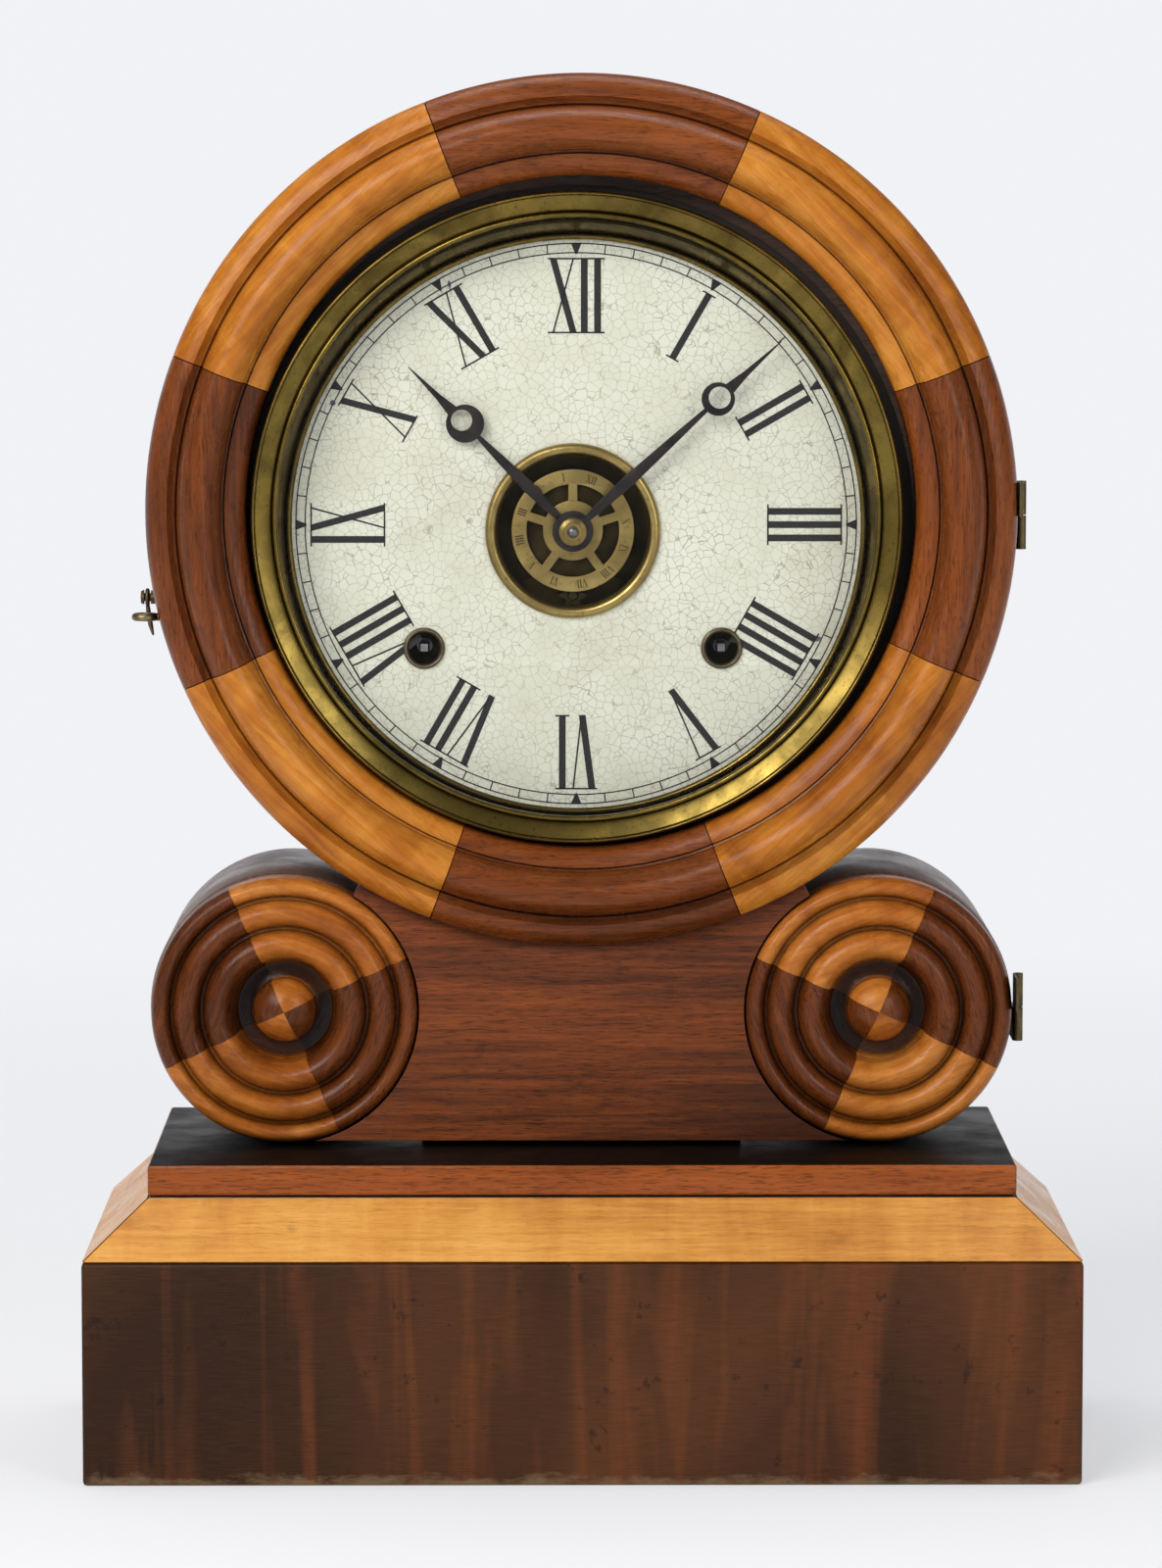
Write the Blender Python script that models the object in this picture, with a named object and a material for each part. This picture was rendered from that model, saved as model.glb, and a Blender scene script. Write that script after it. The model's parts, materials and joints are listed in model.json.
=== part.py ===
"""Wooden shelf clock with a round segmented door ring, two scroll rolls and a plinth.

Metres, +Z up, front of the clock towards -Y. The origin is on the table, under the middle of the plinth.
"""

from math import asin, atan2, cos, degrees, dist, hypot, pi, radians, sin, sqrt

import bmesh
import bpy
from mathutils import Matrix, Vector

for old in list(bpy.data.objects):
    bpy.data.objects.remove(old)

# Clearances
ON_AXIS = 0.00001
SEAT = 0.0003
RUNNING = 0.0003

# Plinth
BASE_WIDTH = 0.287
BASE_DEPTH = 0.132
BASE_HEIGHT = 0.0647
BASE_BOARD = 0.012
BEVEL_RUN = 0.018
BEVEL_RISE = 0.0162
STEP_HEIGHT = 0.0093
EDGE_ROUND = 0.0008

# Door and case, from front to back
PANEL_THICK = 0.008
PANEL_SETBACK = 0.036
DOOR_GAP = 0.0006
DOOR_CLEARANCE = 0.0008
BACK_BOARD = 0.005
DRUM_WALL = 0.013
WAIST_BOARD = 0.007

# Round head
RING_RADIUS = 0.127
RING_WIDTH = 0.0295
RING_TO_ROSETTE = 0.00441
RING_RIM_WIDTH = 0.0085
RING_RIM_HEIGHT = 0.0178
RING_SHOULDER = 0.0110
RING_FILLET = 0.0008
RING_CREST = 0.0263
RING_INNER_FLAT = 0.0070
RING_INNER_DROP = 0.0040
RING_JOINTS_DEG = (21, 66, 111, 159, 204, 249.5, 291.5, 337)
RING_STEPS = 6

# Scroll rolls and their rosettes
ROSETTE_RADIUS = 0.0393
ROSETTE_INSET = 0.0004
ROSETTE_BACK = 0.0065
ROSETTE_BANDS = (ROSETTE_RADIUS, 0.0316, 0.0238, 0.0152)
ROSETTE_RISES = (0.0040, 0.0050, 0.0058)
HOLLOW_DEPTH = 0.0045
HOLLOW_STEP = 0.0005
BUTTON_RADIUS = 0.0094
BUTTON_SEAT = 0.0012
BUTTON_HEIGHT = 0.0070
ROSETTE_STEPS = 28

# Glazing and dial
SASH_WALL = 0.0012
SASH_SHIFT = (-0.0014, -0.0018)
GLASS_THICK = 0.002
SASH_DEPTH = 0.0148
SASH_LIP = 0.0075
GLASS_SEAT = 0.0096
DIAL_SHIFT = (-0.0015, -0.0045)
ARBOR_SHIFT = (-0.0010, -0.0018)
DIAL_OVERLAP = 0.0015
DIAL_THICK = 0.0008
DIAL_RECESS = 0.0029
SURROUND_CLEARANCE = 0.0016
SURROUND_SLOPE = 0.0060
SURROUND_RIM = 0.0010
SURROUND_HEM = 0.0015
SURROUND_HEM_RISE = 0.0012
DIAL_BOARD = 0.008
BOARD_CLEARANCE = 0.0007
CENTRE_HOLE = 0.0225
CENTRE_RING_WIDTH = 0.0032
WINDING_X = 0.0437
WINDING_DROP = 0.0345
WINDING_HOLE = 0.0048
GROMMET_WIDTH = 0.0013

# Hands and alarm disc
MINUTE_MARGIN = 0.0010
MINUTE_MOON = 0.0575
MINUTE_MOON_RADIUS = 0.0049
HOUR_LENGTH = 0.068
HOUR_MOON = 0.0446
HOUR_MOON_RADIUS = 0.0058
MOON_HOLE_SHARE = 0.60
MINUTE_MOON_LEAN = 0.12
HOUR_MOON_LEAN = 0.28
HAND_HUB = 0.0062
HAND_THICK = 0.0006
MINUTE_ANGLE_DEG = 42.4
HOUR_ANGLE_DEG = 135
COLLET_RADIUS = 0.0041
COLLET_CROWN = 0.0026
COLLET_HEIGHT = 0.0014
COLLET_EDGE = 0.0005
ALARM_RADIUS = 0.018
ALARM_INNER = 0.0136
ALARM_HUB = 0.0088
ALARM_SPOKES = 5
ALARM_THICK = 0.0007

# Movement
PLATE_THICK = 0.0016
PLATE_HALF_WIDTH = 0.076
PLATE_TOP = 0.078
PLATE_BOTTOM = 0.064
PLATE_FRONT_GAP = 0.012
SWING_ROOM = 0.0068
BOB_CLEARANCE = 0.0032
GEAR_MODULE = 0.004 / 3
LAYER_STEP = 0.004
MAIN_LAYER = 0.0018
MOTION_MODULE = 0.0012
CANNON_GAP = 0.0018
HOUR_STEP = 0.0054
CANNON_LEAVES = 8
MOTION_TEETH = 24
HOUR_TEETH = 24
PIPE_RADIUS = 0.0026
SPRING_RADIUS = 0.019
SPRING_CLEARANCE = 0.0012
WINDING_RADIUS = 0.0022
WHEEL_TEETH = 36
THIRD_TEETH = 30
PINION_LEAVES = 6
ADDENDUM = 0.70
DEDENDUM = 1.15
WHEEL_THICK = 0.0016
PINION_LENGTH = 0.0034
ARBOR_RADIUS = 0.0013
PIVOT_RADIUS = 0.0008
PILLAR_RADIUS = 0.003
WINDING_SQUARE = 0.0030
THIRD_ANGLE_DEG = 120
ESCAPE_ANGLE_DEG = 60
ESCAPE_TEETH = 24
ESCAPE_RADIUS = 0.014
VERGE_RISE = 0.0188
BOB_RADIUS = 0.021
BOB_THICK = 0.007
BOB_HEIGHT = 0.132
PENDULUM_WIRE = 0.0009
PENDULUM_TAIL = 0.006
COCK_RISE = 0.0085
STUD_RADIUS = 0.0012
STUD_GAP = 0.0052
CRUTCH_LENGTH = 0.043
GONG_WIRE = 0.0011
GONG_TURNS = 3
GONG_INNER = 0.011
GONG_STEP = 0.0042
GONG_HEIGHT = 0.122
GONG_BLOCK = 0.007
GONG_BLOCK_WIDTH = 0.020
GONG_BLOCK_DEPTH = 0.016
HAMMER_DROP = 0.0825
HAMMER_HEAD = 0.004
HAMMER_LENGTH = 0.008

# Hinges and latch
HINGE_HEIGHT = 0.020
HINGE_KNUCKLE = 0.0015
HINGE_PIN = 0.0006
HINGE_LEAF = 0.0007
HINGE_LEAF_WIDTH = 0.014
UPPER_HINGE_DROP = 0.0015
LATCH_DROP = 0.026
LATCH_SETBACK = 0.007
LATCH_LENGTH = 0.0112
LATCH_WIDTH = 0.0018
LATCH_THICK = 0.0014
EYE_RADIUS = 0.0039
EYE_HOLE = 0.0021
EYE_ANGLE_DEG = 194

# Places worked out from the sizes above
HALF_WIDTH = BASE_WIDTH / 2
FRONT = -BASE_DEPTH / 2
BACK = BASE_DEPTH / 2
BEVEL_TOP = BASE_HEIGHT + BEVEL_RISE
STEP_TOP = BEVEL_TOP + STEP_HEIGHT
STEP_FRONT = FRONT + BEVEL_RUN
DOOR_FRONT = STEP_FRONT + PANEL_SETBACK
DOOR_BACK = DOOR_FRONT + PANEL_THICK
CASE_FRONT = DOOR_BACK + DOOR_GAP
CASE_BACK = BACK - BACK_BOARD - SEAT
RING_HOLE = RING_RADIUS - RING_WIDTH
DRUM_RADIUS = RING_RADIUS
DRUM_BORE = DRUM_RADIUS - DRUM_WALL
ROSETTE_Z = STEP_TOP + DOOR_CLEARANCE + ROSETTE_RADIUS
ROSETTE_SPREAD = RING_RADIUS - ROSETTE_RADIUS - ROSETTE_INSET
HEAD_RISE = sqrt((RING_RADIUS + ROSETTE_RADIUS + RING_TO_ROSETTE) ** 2 - ROSETTE_SPREAD**2)
HEAD_Z = ROSETTE_Z + HEAD_RISE
ROLL_RADIUS = ROSETTE_RADIUS + DOOR_CLEARANCE - SEAT
WAIST_HALF = ROSETTE_SPREAD - ROLL_RADIUS - SEAT
SASH_RADIUS = RING_HOLE - hypot(*SASH_SHIFT) - SEAT
SASH_BORE = SASH_RADIUS - SASH_WALL
SURROUND_RADIUS = SASH_BORE - dist(DIAL_SHIFT, SASH_SHIFT) - SURROUND_CLEARANCE
DIAL_SIGHT = SURROUND_RADIUS - SURROUND_SLOPE
DIAL_RADIUS = RING_HOLE + DIAL_OVERLAP
MINUTE_LENGTH = DIAL_SIGHT - MINUTE_MARGIN
DIAL_X = DIAL_SHIFT[0] + ARBOR_SHIFT[0]
DIAL_Z = HEAD_Z + DIAL_SHIFT[1] + ARBOR_SHIFT[1]
DIAL_FACE = CASE_FRONT + DIAL_RECESS
DIAL_BACK = DIAL_FACE + DIAL_THICK
PLATE_FRONT = DIAL_BACK + PLATE_FRONT_GAP
PLATE_INNER = PLATE_FRONT + PLATE_THICK
CANNON_LOW = PLATE_THICK + CANNON_GAP
HOUR_LOW = CANNON_LOW + HOUR_STEP
HOUR_MODULE = (CANNON_LEAVES + MOTION_TEETH) * MOTION_MODULE / (HOUR_TEETH + PINION_LEAVES)
SWING_DEPTH = PLATE_INNER - (BACK - BACK_BOARD - BOB_CLEARANCE - BOB_THICK / 2)
PLATE_SPACING = -SWING_DEPTH - SWING_ROOM - PLATE_THICK
HINGE_X = RING_RADIUS + HINGE_KNUCKLE + SEAT
HINGE_Y = (DOOR_BACK + CASE_FRONT) / 2


def material(name, colour, roughness, metallic=0.0):
    made = bpy.data.materials.new(name)
    made.use_nodes = True
    shader = made.node_tree.nodes["Principled BSDF"]
    shader.inputs["Base Color"].default_value = (*colour, 1)
    shader.inputs["Roughness"].default_value = roughness
    shader.inputs["Metallic"].default_value = metallic
    return made


DARK_WOOD = material("dark_wood", (0.10, 0.030, 0.014), 0.35)
LIGHT_WOOD = material("light_wood", (0.42, 0.17, 0.045), 0.35)
CASE_WOOD = material("case_wood", (0.16, 0.075, 0.045), 0.55)
BRASS = material("brass", (0.42, 0.31, 0.10), 0.35, 1.0)
STEEL = material("steel", (0.30, 0.30, 0.31), 0.35, 1.0)
BLACK = material("black_steel", (0.012, 0.010, 0.010), 0.5)
DIAL_WHITE = material("dial_white", (0.70, 0.71, 0.62), 0.6)
GLASS = material("glass", (0.9, 0.95, 0.93), 0.05)

PARTS = bpy.data.collections.new("shelf_clock")
CUTTERS = bpy.data.collections.new("cutters")
bpy.context.scene.collection.children.link(PARTS)
bpy.context.scene.collection.children.link(CUTTERS)


# Building blocks
def axis_empty(name, location):
    """An empty on a joint's axis, which carries the pieces that turn about it."""
    made = bpy.data.objects.new(name, None)
    made.location = location
    PARTS.objects.link(made)
    return made


def add(name, mesh, finish, location=(0, 0, 0), rotation=(0, 0, 0), carrier=None, smooth=35):
    """One named sub-part. Its location is a world place, also under a carrier."""
    made = bpy.data.objects.new(name, mesh)
    mesh.materials.clear()
    mesh.materials.append(finish)
    mesh.shade_smooth()
    mesh.set_sharp_from_angle(angle=radians(smooth))
    made.location = Vector(location) - (carrier.location if carrier else Vector())
    made.rotation_euler = rotation
    made.parent = carrier
    PARTS.objects.link(made)
    return made


def to_mesh(bm, name):
    """A mesh whose faces point out."""
    bmesh.ops.recalc_face_normals(bm, faces=bm.faces)
    mesh = bpy.data.meshes.new(name)
    bm.to_mesh(mesh)
    bm.free()
    return mesh


def box_mesh(name, low, high, rounding=0.0):
    """A box between two corners, with its edges rounded."""
    bm = bmesh.new()
    bmesh.ops.create_cube(bm, size=1)
    size = [b - a for a, b in zip(low, high)]
    middle = [(a + b) / 2 for a, b in zip(low, high)]
    bmesh.ops.scale(bm, vec=size, verts=bm.verts)
    bmesh.ops.translate(bm, vec=middle, verts=bm.verts)
    if rounding:
        bmesh.ops.bevel(bm, geom=bm.edges[:], offset=rounding, segments=1, affect="EDGES")
    return to_mesh(bm, name)


def swept_mesh(name, profile, start, end, steps):
    """A closed (radius, height) outline turned about Z from start to end, in degrees, as a solid."""
    bm = bmesh.new()
    whole = abs(end - start) > 359.9
    corners = [bm.verts.new((r * cos(radians(start)), r * sin(radians(start)), h)) for r, h in profile]
    if whole:
        pairs = [(i - 1, i) for i in range(len(corners)) if max(profile[i - 1][0], profile[i][0]) > ON_AXIS]
        geom = corners + [bm.edges.new((corners[a], corners[b])) for a, b in pairs]
    else:
        geom = [bm.faces.new(corners)]
    turn = radians(end - start)
    bmesh.ops.spin(bm, geom=geom, cent=(0, 0, 0), axis=(0, 0, 1), angle=turn, steps=steps, use_merge=whole)
    bmesh.ops.remove_doubles(bm, verts=bm.verts, dist=ON_AXIS)
    return to_mesh(bm, name)


def outline_mesh(name, loops, low, high):
    """Flat closed loops of (x, y), holes among them, as a slab from low to high along Z."""
    curve = bpy.data.curves.new(name, "CURVE")
    curve.dimensions = "2D"
    curve.fill_mode = "BOTH"
    curve.extrude = (high - low) / 2
    for loop in loops:
        spline = curve.splines.new("POLY")
        spline.points.add(len(loop) - 1)
        for point, (x, y) in zip(spline.points, loop):
            point.co = (x, y, 0, 1)
        spline.use_cyclic_u = True
    return curve_mesh(name, curve, (0, 0, (low + high) / 2))


def tube_mesh(name, route, radius, sides=2):
    """A round wire along a list of points."""
    curve = bpy.data.curves.new(name, "CURVE")
    curve.dimensions = "3D"
    curve.bevel_depth = radius
    curve.bevel_resolution = sides
    curve.use_fill_caps = True
    spline = curve.splines.new("POLY")
    spline.points.add(len(route) - 1)
    for point, place in zip(spline.points, route):
        point.co = (*place, 1)
    return curve_mesh(name, curve, (0, 0, 0))


def curve_mesh(name, curve, lift):
    """The evaluated curve as a closed mesh, with its caps welded."""
    guide = bpy.data.objects.new(name + "_curve", curve)
    CUTTERS.objects.link(guide)
    bpy.context.view_layer.update()
    evaluated = guide.evaluated_get(bpy.context.evaluated_depsgraph_get())
    mesh = bpy.data.meshes.new_from_object(evaluated)
    bpy.data.objects.remove(guide)
    bm = bmesh.new()
    bm.from_mesh(mesh)
    bmesh.ops.remove_doubles(bm, verts=bm.verts, dist=0.000005)
    bmesh.ops.translate(bm, vec=lift, verts=bm.verts)
    return to_mesh(bm, name)


def moved(mesh, by):
    mesh.transform(Matrix.Translation(by))
    return mesh


def rod_mesh(name, radius, length, sides=16, radius_top=None):
    """A cylinder or cone from Z 0 to length."""
    bm = bmesh.new()
    top = radius if radius_top is None else radius_top
    bmesh.ops.create_cone(bm, cap_ends=True, segments=sides, radius1=radius, radius2=top, depth=length)
    bmesh.ops.translate(bm, vec=(0, 0, length / 2), verts=bm.verts)
    return to_mesh(bm, name)


def ring_mesh(name, inner, outer, low, high, steps=48):
    return swept_mesh(name, [(inner, low), (outer, low), (outer, high), (inner, high)], 0, 360, steps)


def circle(radius, steps, centre=(0, 0), start=0.0, end=360.0):
    """Points round a circle, or along an arc of it with both its ends."""
    whole = end - start == 360
    spans = steps if whole else steps - 1
    angles = [radians(start + (end - start) * i / spans) for i in range(steps)]
    return [(centre[0] + radius * cos(a), centre[1] + radius * sin(a)) for a in angles]


def bead(inner, outer, floor, rise, steps):
    """A rounded moulding from its outer foot to its inner foot, without the last point."""
    middle = (inner + outer) / 2
    half = (outer - inner) / 2
    angles = [pi * i / steps for i in range(steps)]
    return [(middle + half * cos(a), floor + rise * sin(a)) for a in angles]


def boolean(target, mesh, operation):
    """Joins a closed mesh to a piece, or cuts it out, in the piece's own frame."""
    tool = bpy.data.objects.new(target.name + "_tool", mesh)
    tool.parent = target
    tool.hide_render = True
    tool.display_type = "WIRE"
    CUTTERS.objects.link(tool)
    step = target.modifiers.new(operation.lower(), "BOOLEAN")
    step.operation = operation
    step.object = tool


FACING = (pi / 2, 0, 0)


# Plinth: four boards, the bevelled moulding and the step
def build_plinth():
    inner = HALF_WIDTH - BASE_BOARD
    boards_front = FRONT + BASE_BOARD + SEAT
    faces = {
        "base_front_board": ((-HALF_WIDTH, FRONT, 0), (HALF_WIDTH, FRONT + BASE_BOARD, BASE_HEIGHT)),
        "base_left_board": ((-HALF_WIDTH, boards_front, 0), (-inner, BACK, BASE_HEIGHT)),
        "base_right_board": ((inner, boards_front, 0), (HALF_WIDTH, BACK, BASE_HEIGHT)),
        "base_back_board": ((-inner + SEAT, BACK - BASE_BOARD, 0), (inner - SEAT, BACK, BASE_HEIGHT)),
    }
    for name, (low, high) in faces.items():
        add(name, box_mesh(name, low, high, EDGE_ROUND), DARK_WOOD)
    bm = bmesh.new()
    bmesh.ops.create_cube(bm, size=1)
    for corner in bm.verts:
        top = corner.co.z > 0
        run = BEVEL_RUN if top else 0
        side = 1 if corner.co.x > 0 else -1
        back = corner.co.y > 0
        corner.co.x = side * (HALF_WIDTH - run)
        corner.co.y = BACK if back else FRONT + run
        corner.co.z = BEVEL_TOP if top else BASE_HEIGHT + SEAT
    add("base_bevel_moulding", to_mesh(bm, "base_bevel_moulding"), LIGHT_WOOD)
    half = HALF_WIDTH - BEVEL_RUN
    low = (-half, STEP_FRONT, BEVEL_TOP + SEAT)
    step = box_mesh("base_step_plate", low, (half, BACK, STEP_TOP), EDGE_ROUND)
    add("base_step_plate", step, DARK_WOOD)


# Case: rolls, waist boards, drum and back board
def build_case():
    for side, name in ((-1, "left"), (1, "right")):
        roll = rod_mesh("volute_roll_" + name, ROLL_RADIUS, BACK - CASE_FRONT, 40)
        add("volute_roll_" + name, roll, CASE_WOOD, (side * ROSETTE_SPREAD, BACK, ROSETTE_Z), FACING)
        top = HEAD_Z - sqrt(DRUM_BORE**2 - (WAIST_HALF - WAIST_BOARD) ** 2)
        near, far = sorted((side * (WAIST_HALF - WAIST_BOARD), side * WAIST_HALF))
        low = (near, CASE_FRONT, STEP_TOP + SEAT)
        add("waist_side_" + name, box_mesh("waist_side", low, (far, CASE_BACK, top)), CASE_WOOD)
    mouth = degrees(asin((WAIST_HALF + SEAT) / DRUM_BORE))
    depth = CASE_BACK - CASE_FRONT
    wall = [(DRUM_BORE, 0), (DRUM_RADIUS, 0), (DRUM_RADIUS, depth), (DRUM_BORE, depth)]
    shell = swept_mesh("drum_shell", wall, mouth - 90, 270 - mouth, 36)
    add("drum_shell", shell, CASE_WOOD, (0, CASE_BACK, HEAD_Z), FACING)
    foot = degrees(asin(WAIST_HALF / DRUM_RADIUS))
    drop = STEP_TOP + SEAT - HEAD_Z
    edge = circle(DRUM_RADIUS, 49, (0, 0), foot - 90, 270 - foot)
    edge += [(-WAIST_HALF, drop), (WAIST_HALF, drop)]
    board = outline_mesh("back_board", [edge], 0, BACK_BOARD)
    add("back_board", board, CASE_WOOD, (0, BACK, HEAD_Z), FACING)


# Door: eight ring segments, the waist panel and the rosettes, which swing as one
def ring_profile():
    """The turned moulding of the door ring, from the back of its hole round to the outer edge."""
    rim = RING_RADIUS - RING_RIM_WIDTH
    inner_flat = RING_HOLE + RING_INNER_FLAT
    points = [(RING_HOLE, 0), (RING_RADIUS, 0)]
    points += bead(rim - RING_RIM_WIDTH, RING_RADIUS, RING_SHOULDER, RING_RIM_HEIGHT - RING_SHOULDER, 6)[:4]
    shelf = RING_RIM_HEIGHT - RING_FILLET
    points += bead(inner_flat, rim - RING_FILLET, shelf, RING_CREST - RING_RIM_HEIGHT, 6)
    points += [(inner_flat, shelf), (RING_HOLE, RING_RIM_HEIGHT - RING_INNER_DROP)]
    return points


def rosette_profile():
    """Three turned rings, a deep hollow and a domed button, from the rim to the middle."""
    points = [(0, 0), (ROSETTE_RADIUS, 0)]
    for outer, inner, rise in zip(ROSETTE_BANDS, ROSETTE_BANDS[1:], ROSETTE_RISES):
        points += bead(inner, outer, ROSETTE_BACK, rise, 4)
    floor = ROSETTE_BACK - HOLLOW_DEPTH
    points += [(ROSETTE_BANDS[-1] - HOLLOW_STEP, floor), (BUTTON_RADIUS, floor)]
    dome = [radians(90 * i / 3) for i in range(4)]
    points += [(BUTTON_RADIUS * cos(a), ROSETTE_BACK - BUTTON_SEAT + BUTTON_HEIGHT * sin(a)) for a in dome]
    return points


def build_door():
    carrier = axis_empty("door_axis", (HINGE_X, HINGE_Y, HEAD_Z))
    half_gap = degrees(SEAT / 2 / RING_HOLE)
    for i, start in enumerate(RING_JOINTS_DEG):
        end = (*RING_JOINTS_DEG, RING_JOINTS_DEG[0] + 360)[i + 1]
        name = f"door_ring_segment_{i + 1}"
        mesh = swept_mesh(name, ring_profile(), start + half_gap, end - half_gap, RING_STEPS)
        finish = DARK_WOOD if i % 2 else LIGHT_WOOD
        add(name, mesh, finish, (0, DOOR_BACK, HEAD_Z), FACING, carrier)
    build_waist_panel(carrier)
    for side, place in ((-1, "left"), (1, "right")):
        build_rosette(side, place, carrier)
    return carrier


def build_waist_panel(carrier):
    """The board between the rosettes, hollowed round the ring above and the rosettes beside it."""
    ring = RING_RADIUS + SEAT
    round_edge = ROSETTE_RADIUS + SEAT
    rise = HEAD_Z - ROSETTE_Z
    lean = degrees(atan2(rise, -ROSETTE_SPREAD))
    foot = ROSETTE_RADIUS - 0.0006
    low = 180 + degrees(asin(foot / round_edge))
    right = circle(round_edge, 14, (ROSETTE_SPREAD, ROSETTE_Z - HEAD_Z), lean, low)
    right = right[::-1]
    over = circle(ring, 13, (0, 0), lean - 180, -lean)
    left = [(-x, z) for x, z in right[::-1]]
    mesh = outline_mesh("door_waist_panel", [right + over + left], 0, PANEL_THICK)
    add("door_waist_panel", mesh, DARK_WOOD, (0, DOOR_BACK, HEAD_Z), FACING, carrier)


def build_rosette(side, place, carrier):
    """One turned roundel."""
    mesh = swept_mesh("rosette_" + place, rosette_profile(), 0, 360, ROSETTE_STEPS)
    add("rosette_" + place, mesh, LIGHT_WOOD, (side * ROSETTE_SPREAD, DOOR_BACK, ROSETTE_Z), FACING, carrier)


# Glazing: the brass sash and its glass ride on the door
def build_glazing(carrier):
    r = SASH_RADIUS
    lip = r - SASH_LIP
    profile = [(r, SEAT), (r, SASH_DEPTH - SASH_WALL), (SASH_BORE, SASH_DEPTH), (r - 0.003, SASH_DEPTH)]
    profile += [(lip, GLASS_SEAT + SASH_WALL), (lip, GLASS_SEAT), (SASH_BORE, GLASS_SEAT), (SASH_BORE, SEAT)]
    place = (SASH_SHIFT[0], DOOR_BACK, HEAD_Z + SASH_SHIFT[1])
    add("brass_sash", swept_mesh("brass_sash", profile, 0, 360, 40), BRASS, place, FACING, carrier)
    pane = rod_mesh("dial_glass", SASH_BORE - SEAT, GLASS_THICK, 40)
    moved(pane, (0, 0, GLASS_SEAT - SEAT - GLASS_THICK))
    add("dial_glass", pane, GLASS, place, FACING, carrier)


# Dial: the painted plate on its wooden ring, with its brass rings
def build_dial():
    place = (DIAL_X, DIAL_BACK, DIAL_Z)
    board = ring_mesh("dial_board", SURROUND_RADIUS, DRUM_BORE - BOARD_CLEARANCE, 0, DIAL_BOARD, 40)
    add("dial_board", board, CASE_WOOD, (0, DIAL_BACK + SEAT + DIAL_BOARD, HEAD_Z), FACING)
    holes = [circle(CENTRE_HOLE, 28)]
    for side in (-1, 1):
        holes.append(circle(WINDING_HOLE, 16, (side * WINDING_X, -WINDING_DROP)))
    rim = circle(DIAL_RADIUS, 48, (-ARBOR_SHIFT[0], -ARBOR_SHIFT[1]))
    plate = outline_mesh("dial_plate", [rim, *holes], 0, DIAL_THICK)
    add("dial_plate", plate, DIAL_WHITE, place, FACING)
    front = DIAL_THICK + SEAT
    lift = DIAL_RECESS + DOOR_GAP + GLASS_SEAT - GLASS_THICK - SEAT
    slope = [(DIAL_SIGHT, front), (SURROUND_RADIUS, front), (SURROUND_RADIUS, lift)]
    hem = front + SURROUND_HEM_RISE
    slope += [(SURROUND_RADIUS - SURROUND_RIM, lift)]
    slope += [(DIAL_SIGHT + SURROUND_HEM, hem + SURROUND_RIM), (DIAL_SIGHT, hem)]
    middle = (DIAL_SHIFT[0], DIAL_BACK, HEAD_Z + DIAL_SHIFT[1])
    add("dial_surround", swept_mesh("dial_surround", slope, 0, 360, 40), BRASS, middle, FACING)
    hem = bead(CENTRE_HOLE, CENTRE_HOLE + CENTRE_RING_WIDTH, front, 0.0016, 4) + [(CENTRE_HOLE, front)]
    add("centre_ring", swept_mesh("centre_ring", hem, 0, 360, 28), BRASS, place, FACING)
    hem = bead(WINDING_HOLE, WINDING_HOLE + GROMMET_WIDTH, front, 0.0008, 3) + [(WINDING_HOLE, front)]
    for side, name in ((-1, "left"), (1, "right")):
        grommet = swept_mesh("winding_grommet_" + name, hem, 0, 360, 16)
        at = (DIAL_X + side * WINDING_X, DIAL_BACK, DIAL_Z - WINDING_DROP)
        add("winding_grommet_" + name, grommet, BRASS, at, FACING)


# Hinges and latch
def hinge_leaf(name, flip, low, high, place, carrier=None, pin=False):
    """A flat leaf with one knuckle, cut from one outline seen from above."""
    inner = HINGE_KNUCKLE - HINGE_LEAF
    lead = degrees(asin(inner / HINGE_KNUCKLE))
    knuckle = circle(HINGE_KNUCKLE, 16, (0, 0), -180, 90 + lead)
    tab = [(-inner, HINGE_LEAF_WIDTH), (-HINGE_KNUCKLE, HINGE_LEAF_WIDTH)]
    loop = [(x, flip * y) for x, y in knuckle + tab]
    loops = [loop] if pin else [loop, circle(HINGE_PIN + RUNNING, 12)]
    leaf = add(name, outline_mesh(name, loops, low, high), BRASS, place, (0, 0, 0), carrier)
    if pin:
        length = HINGE_HEIGHT - SEAT - (high - low)
        shaft = moved(rod_mesh(name + "_pin", HINGE_PIN, length, 12), (0, 0, high - HINGE_PIN))
        boolean(leaf, shaft, "UNION")


def build_hinges(carrier):
    half = HINGE_HEIGHT / 2
    heights = {"upper": HEAD_Z - UPPER_HINGE_DROP, "lower": ROSETTE_Z}
    for name, z in heights.items():
        at = (HINGE_X, HINGE_Y, z)
        hinge_leaf("hinge_leaf_case_" + name, 1, -half, -SEAT / 2, at, None, True)
        hinge_leaf("hinge_leaf_door_" + name, -1, SEAT / 2, half, at, carrier)


# Wheels and arbors of the movement
def toothed(teeth, module, phase):
    """The zigzag rim of a wheel, with one tooth pointing along phase, in degrees."""
    pitch = teeth * module / 2
    tip = pitch + ADDENDUM * module
    root = pitch - DEDENDUM * module
    angles = [radians(phase + 180 * i / teeth) for i in range(2 * teeth)]
    radii = [root if i % 2 else tip for i in range(len(angles))]
    return [(r * cos(a), r * sin(a)) for r, a in zip(radii, angles)]


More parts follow.
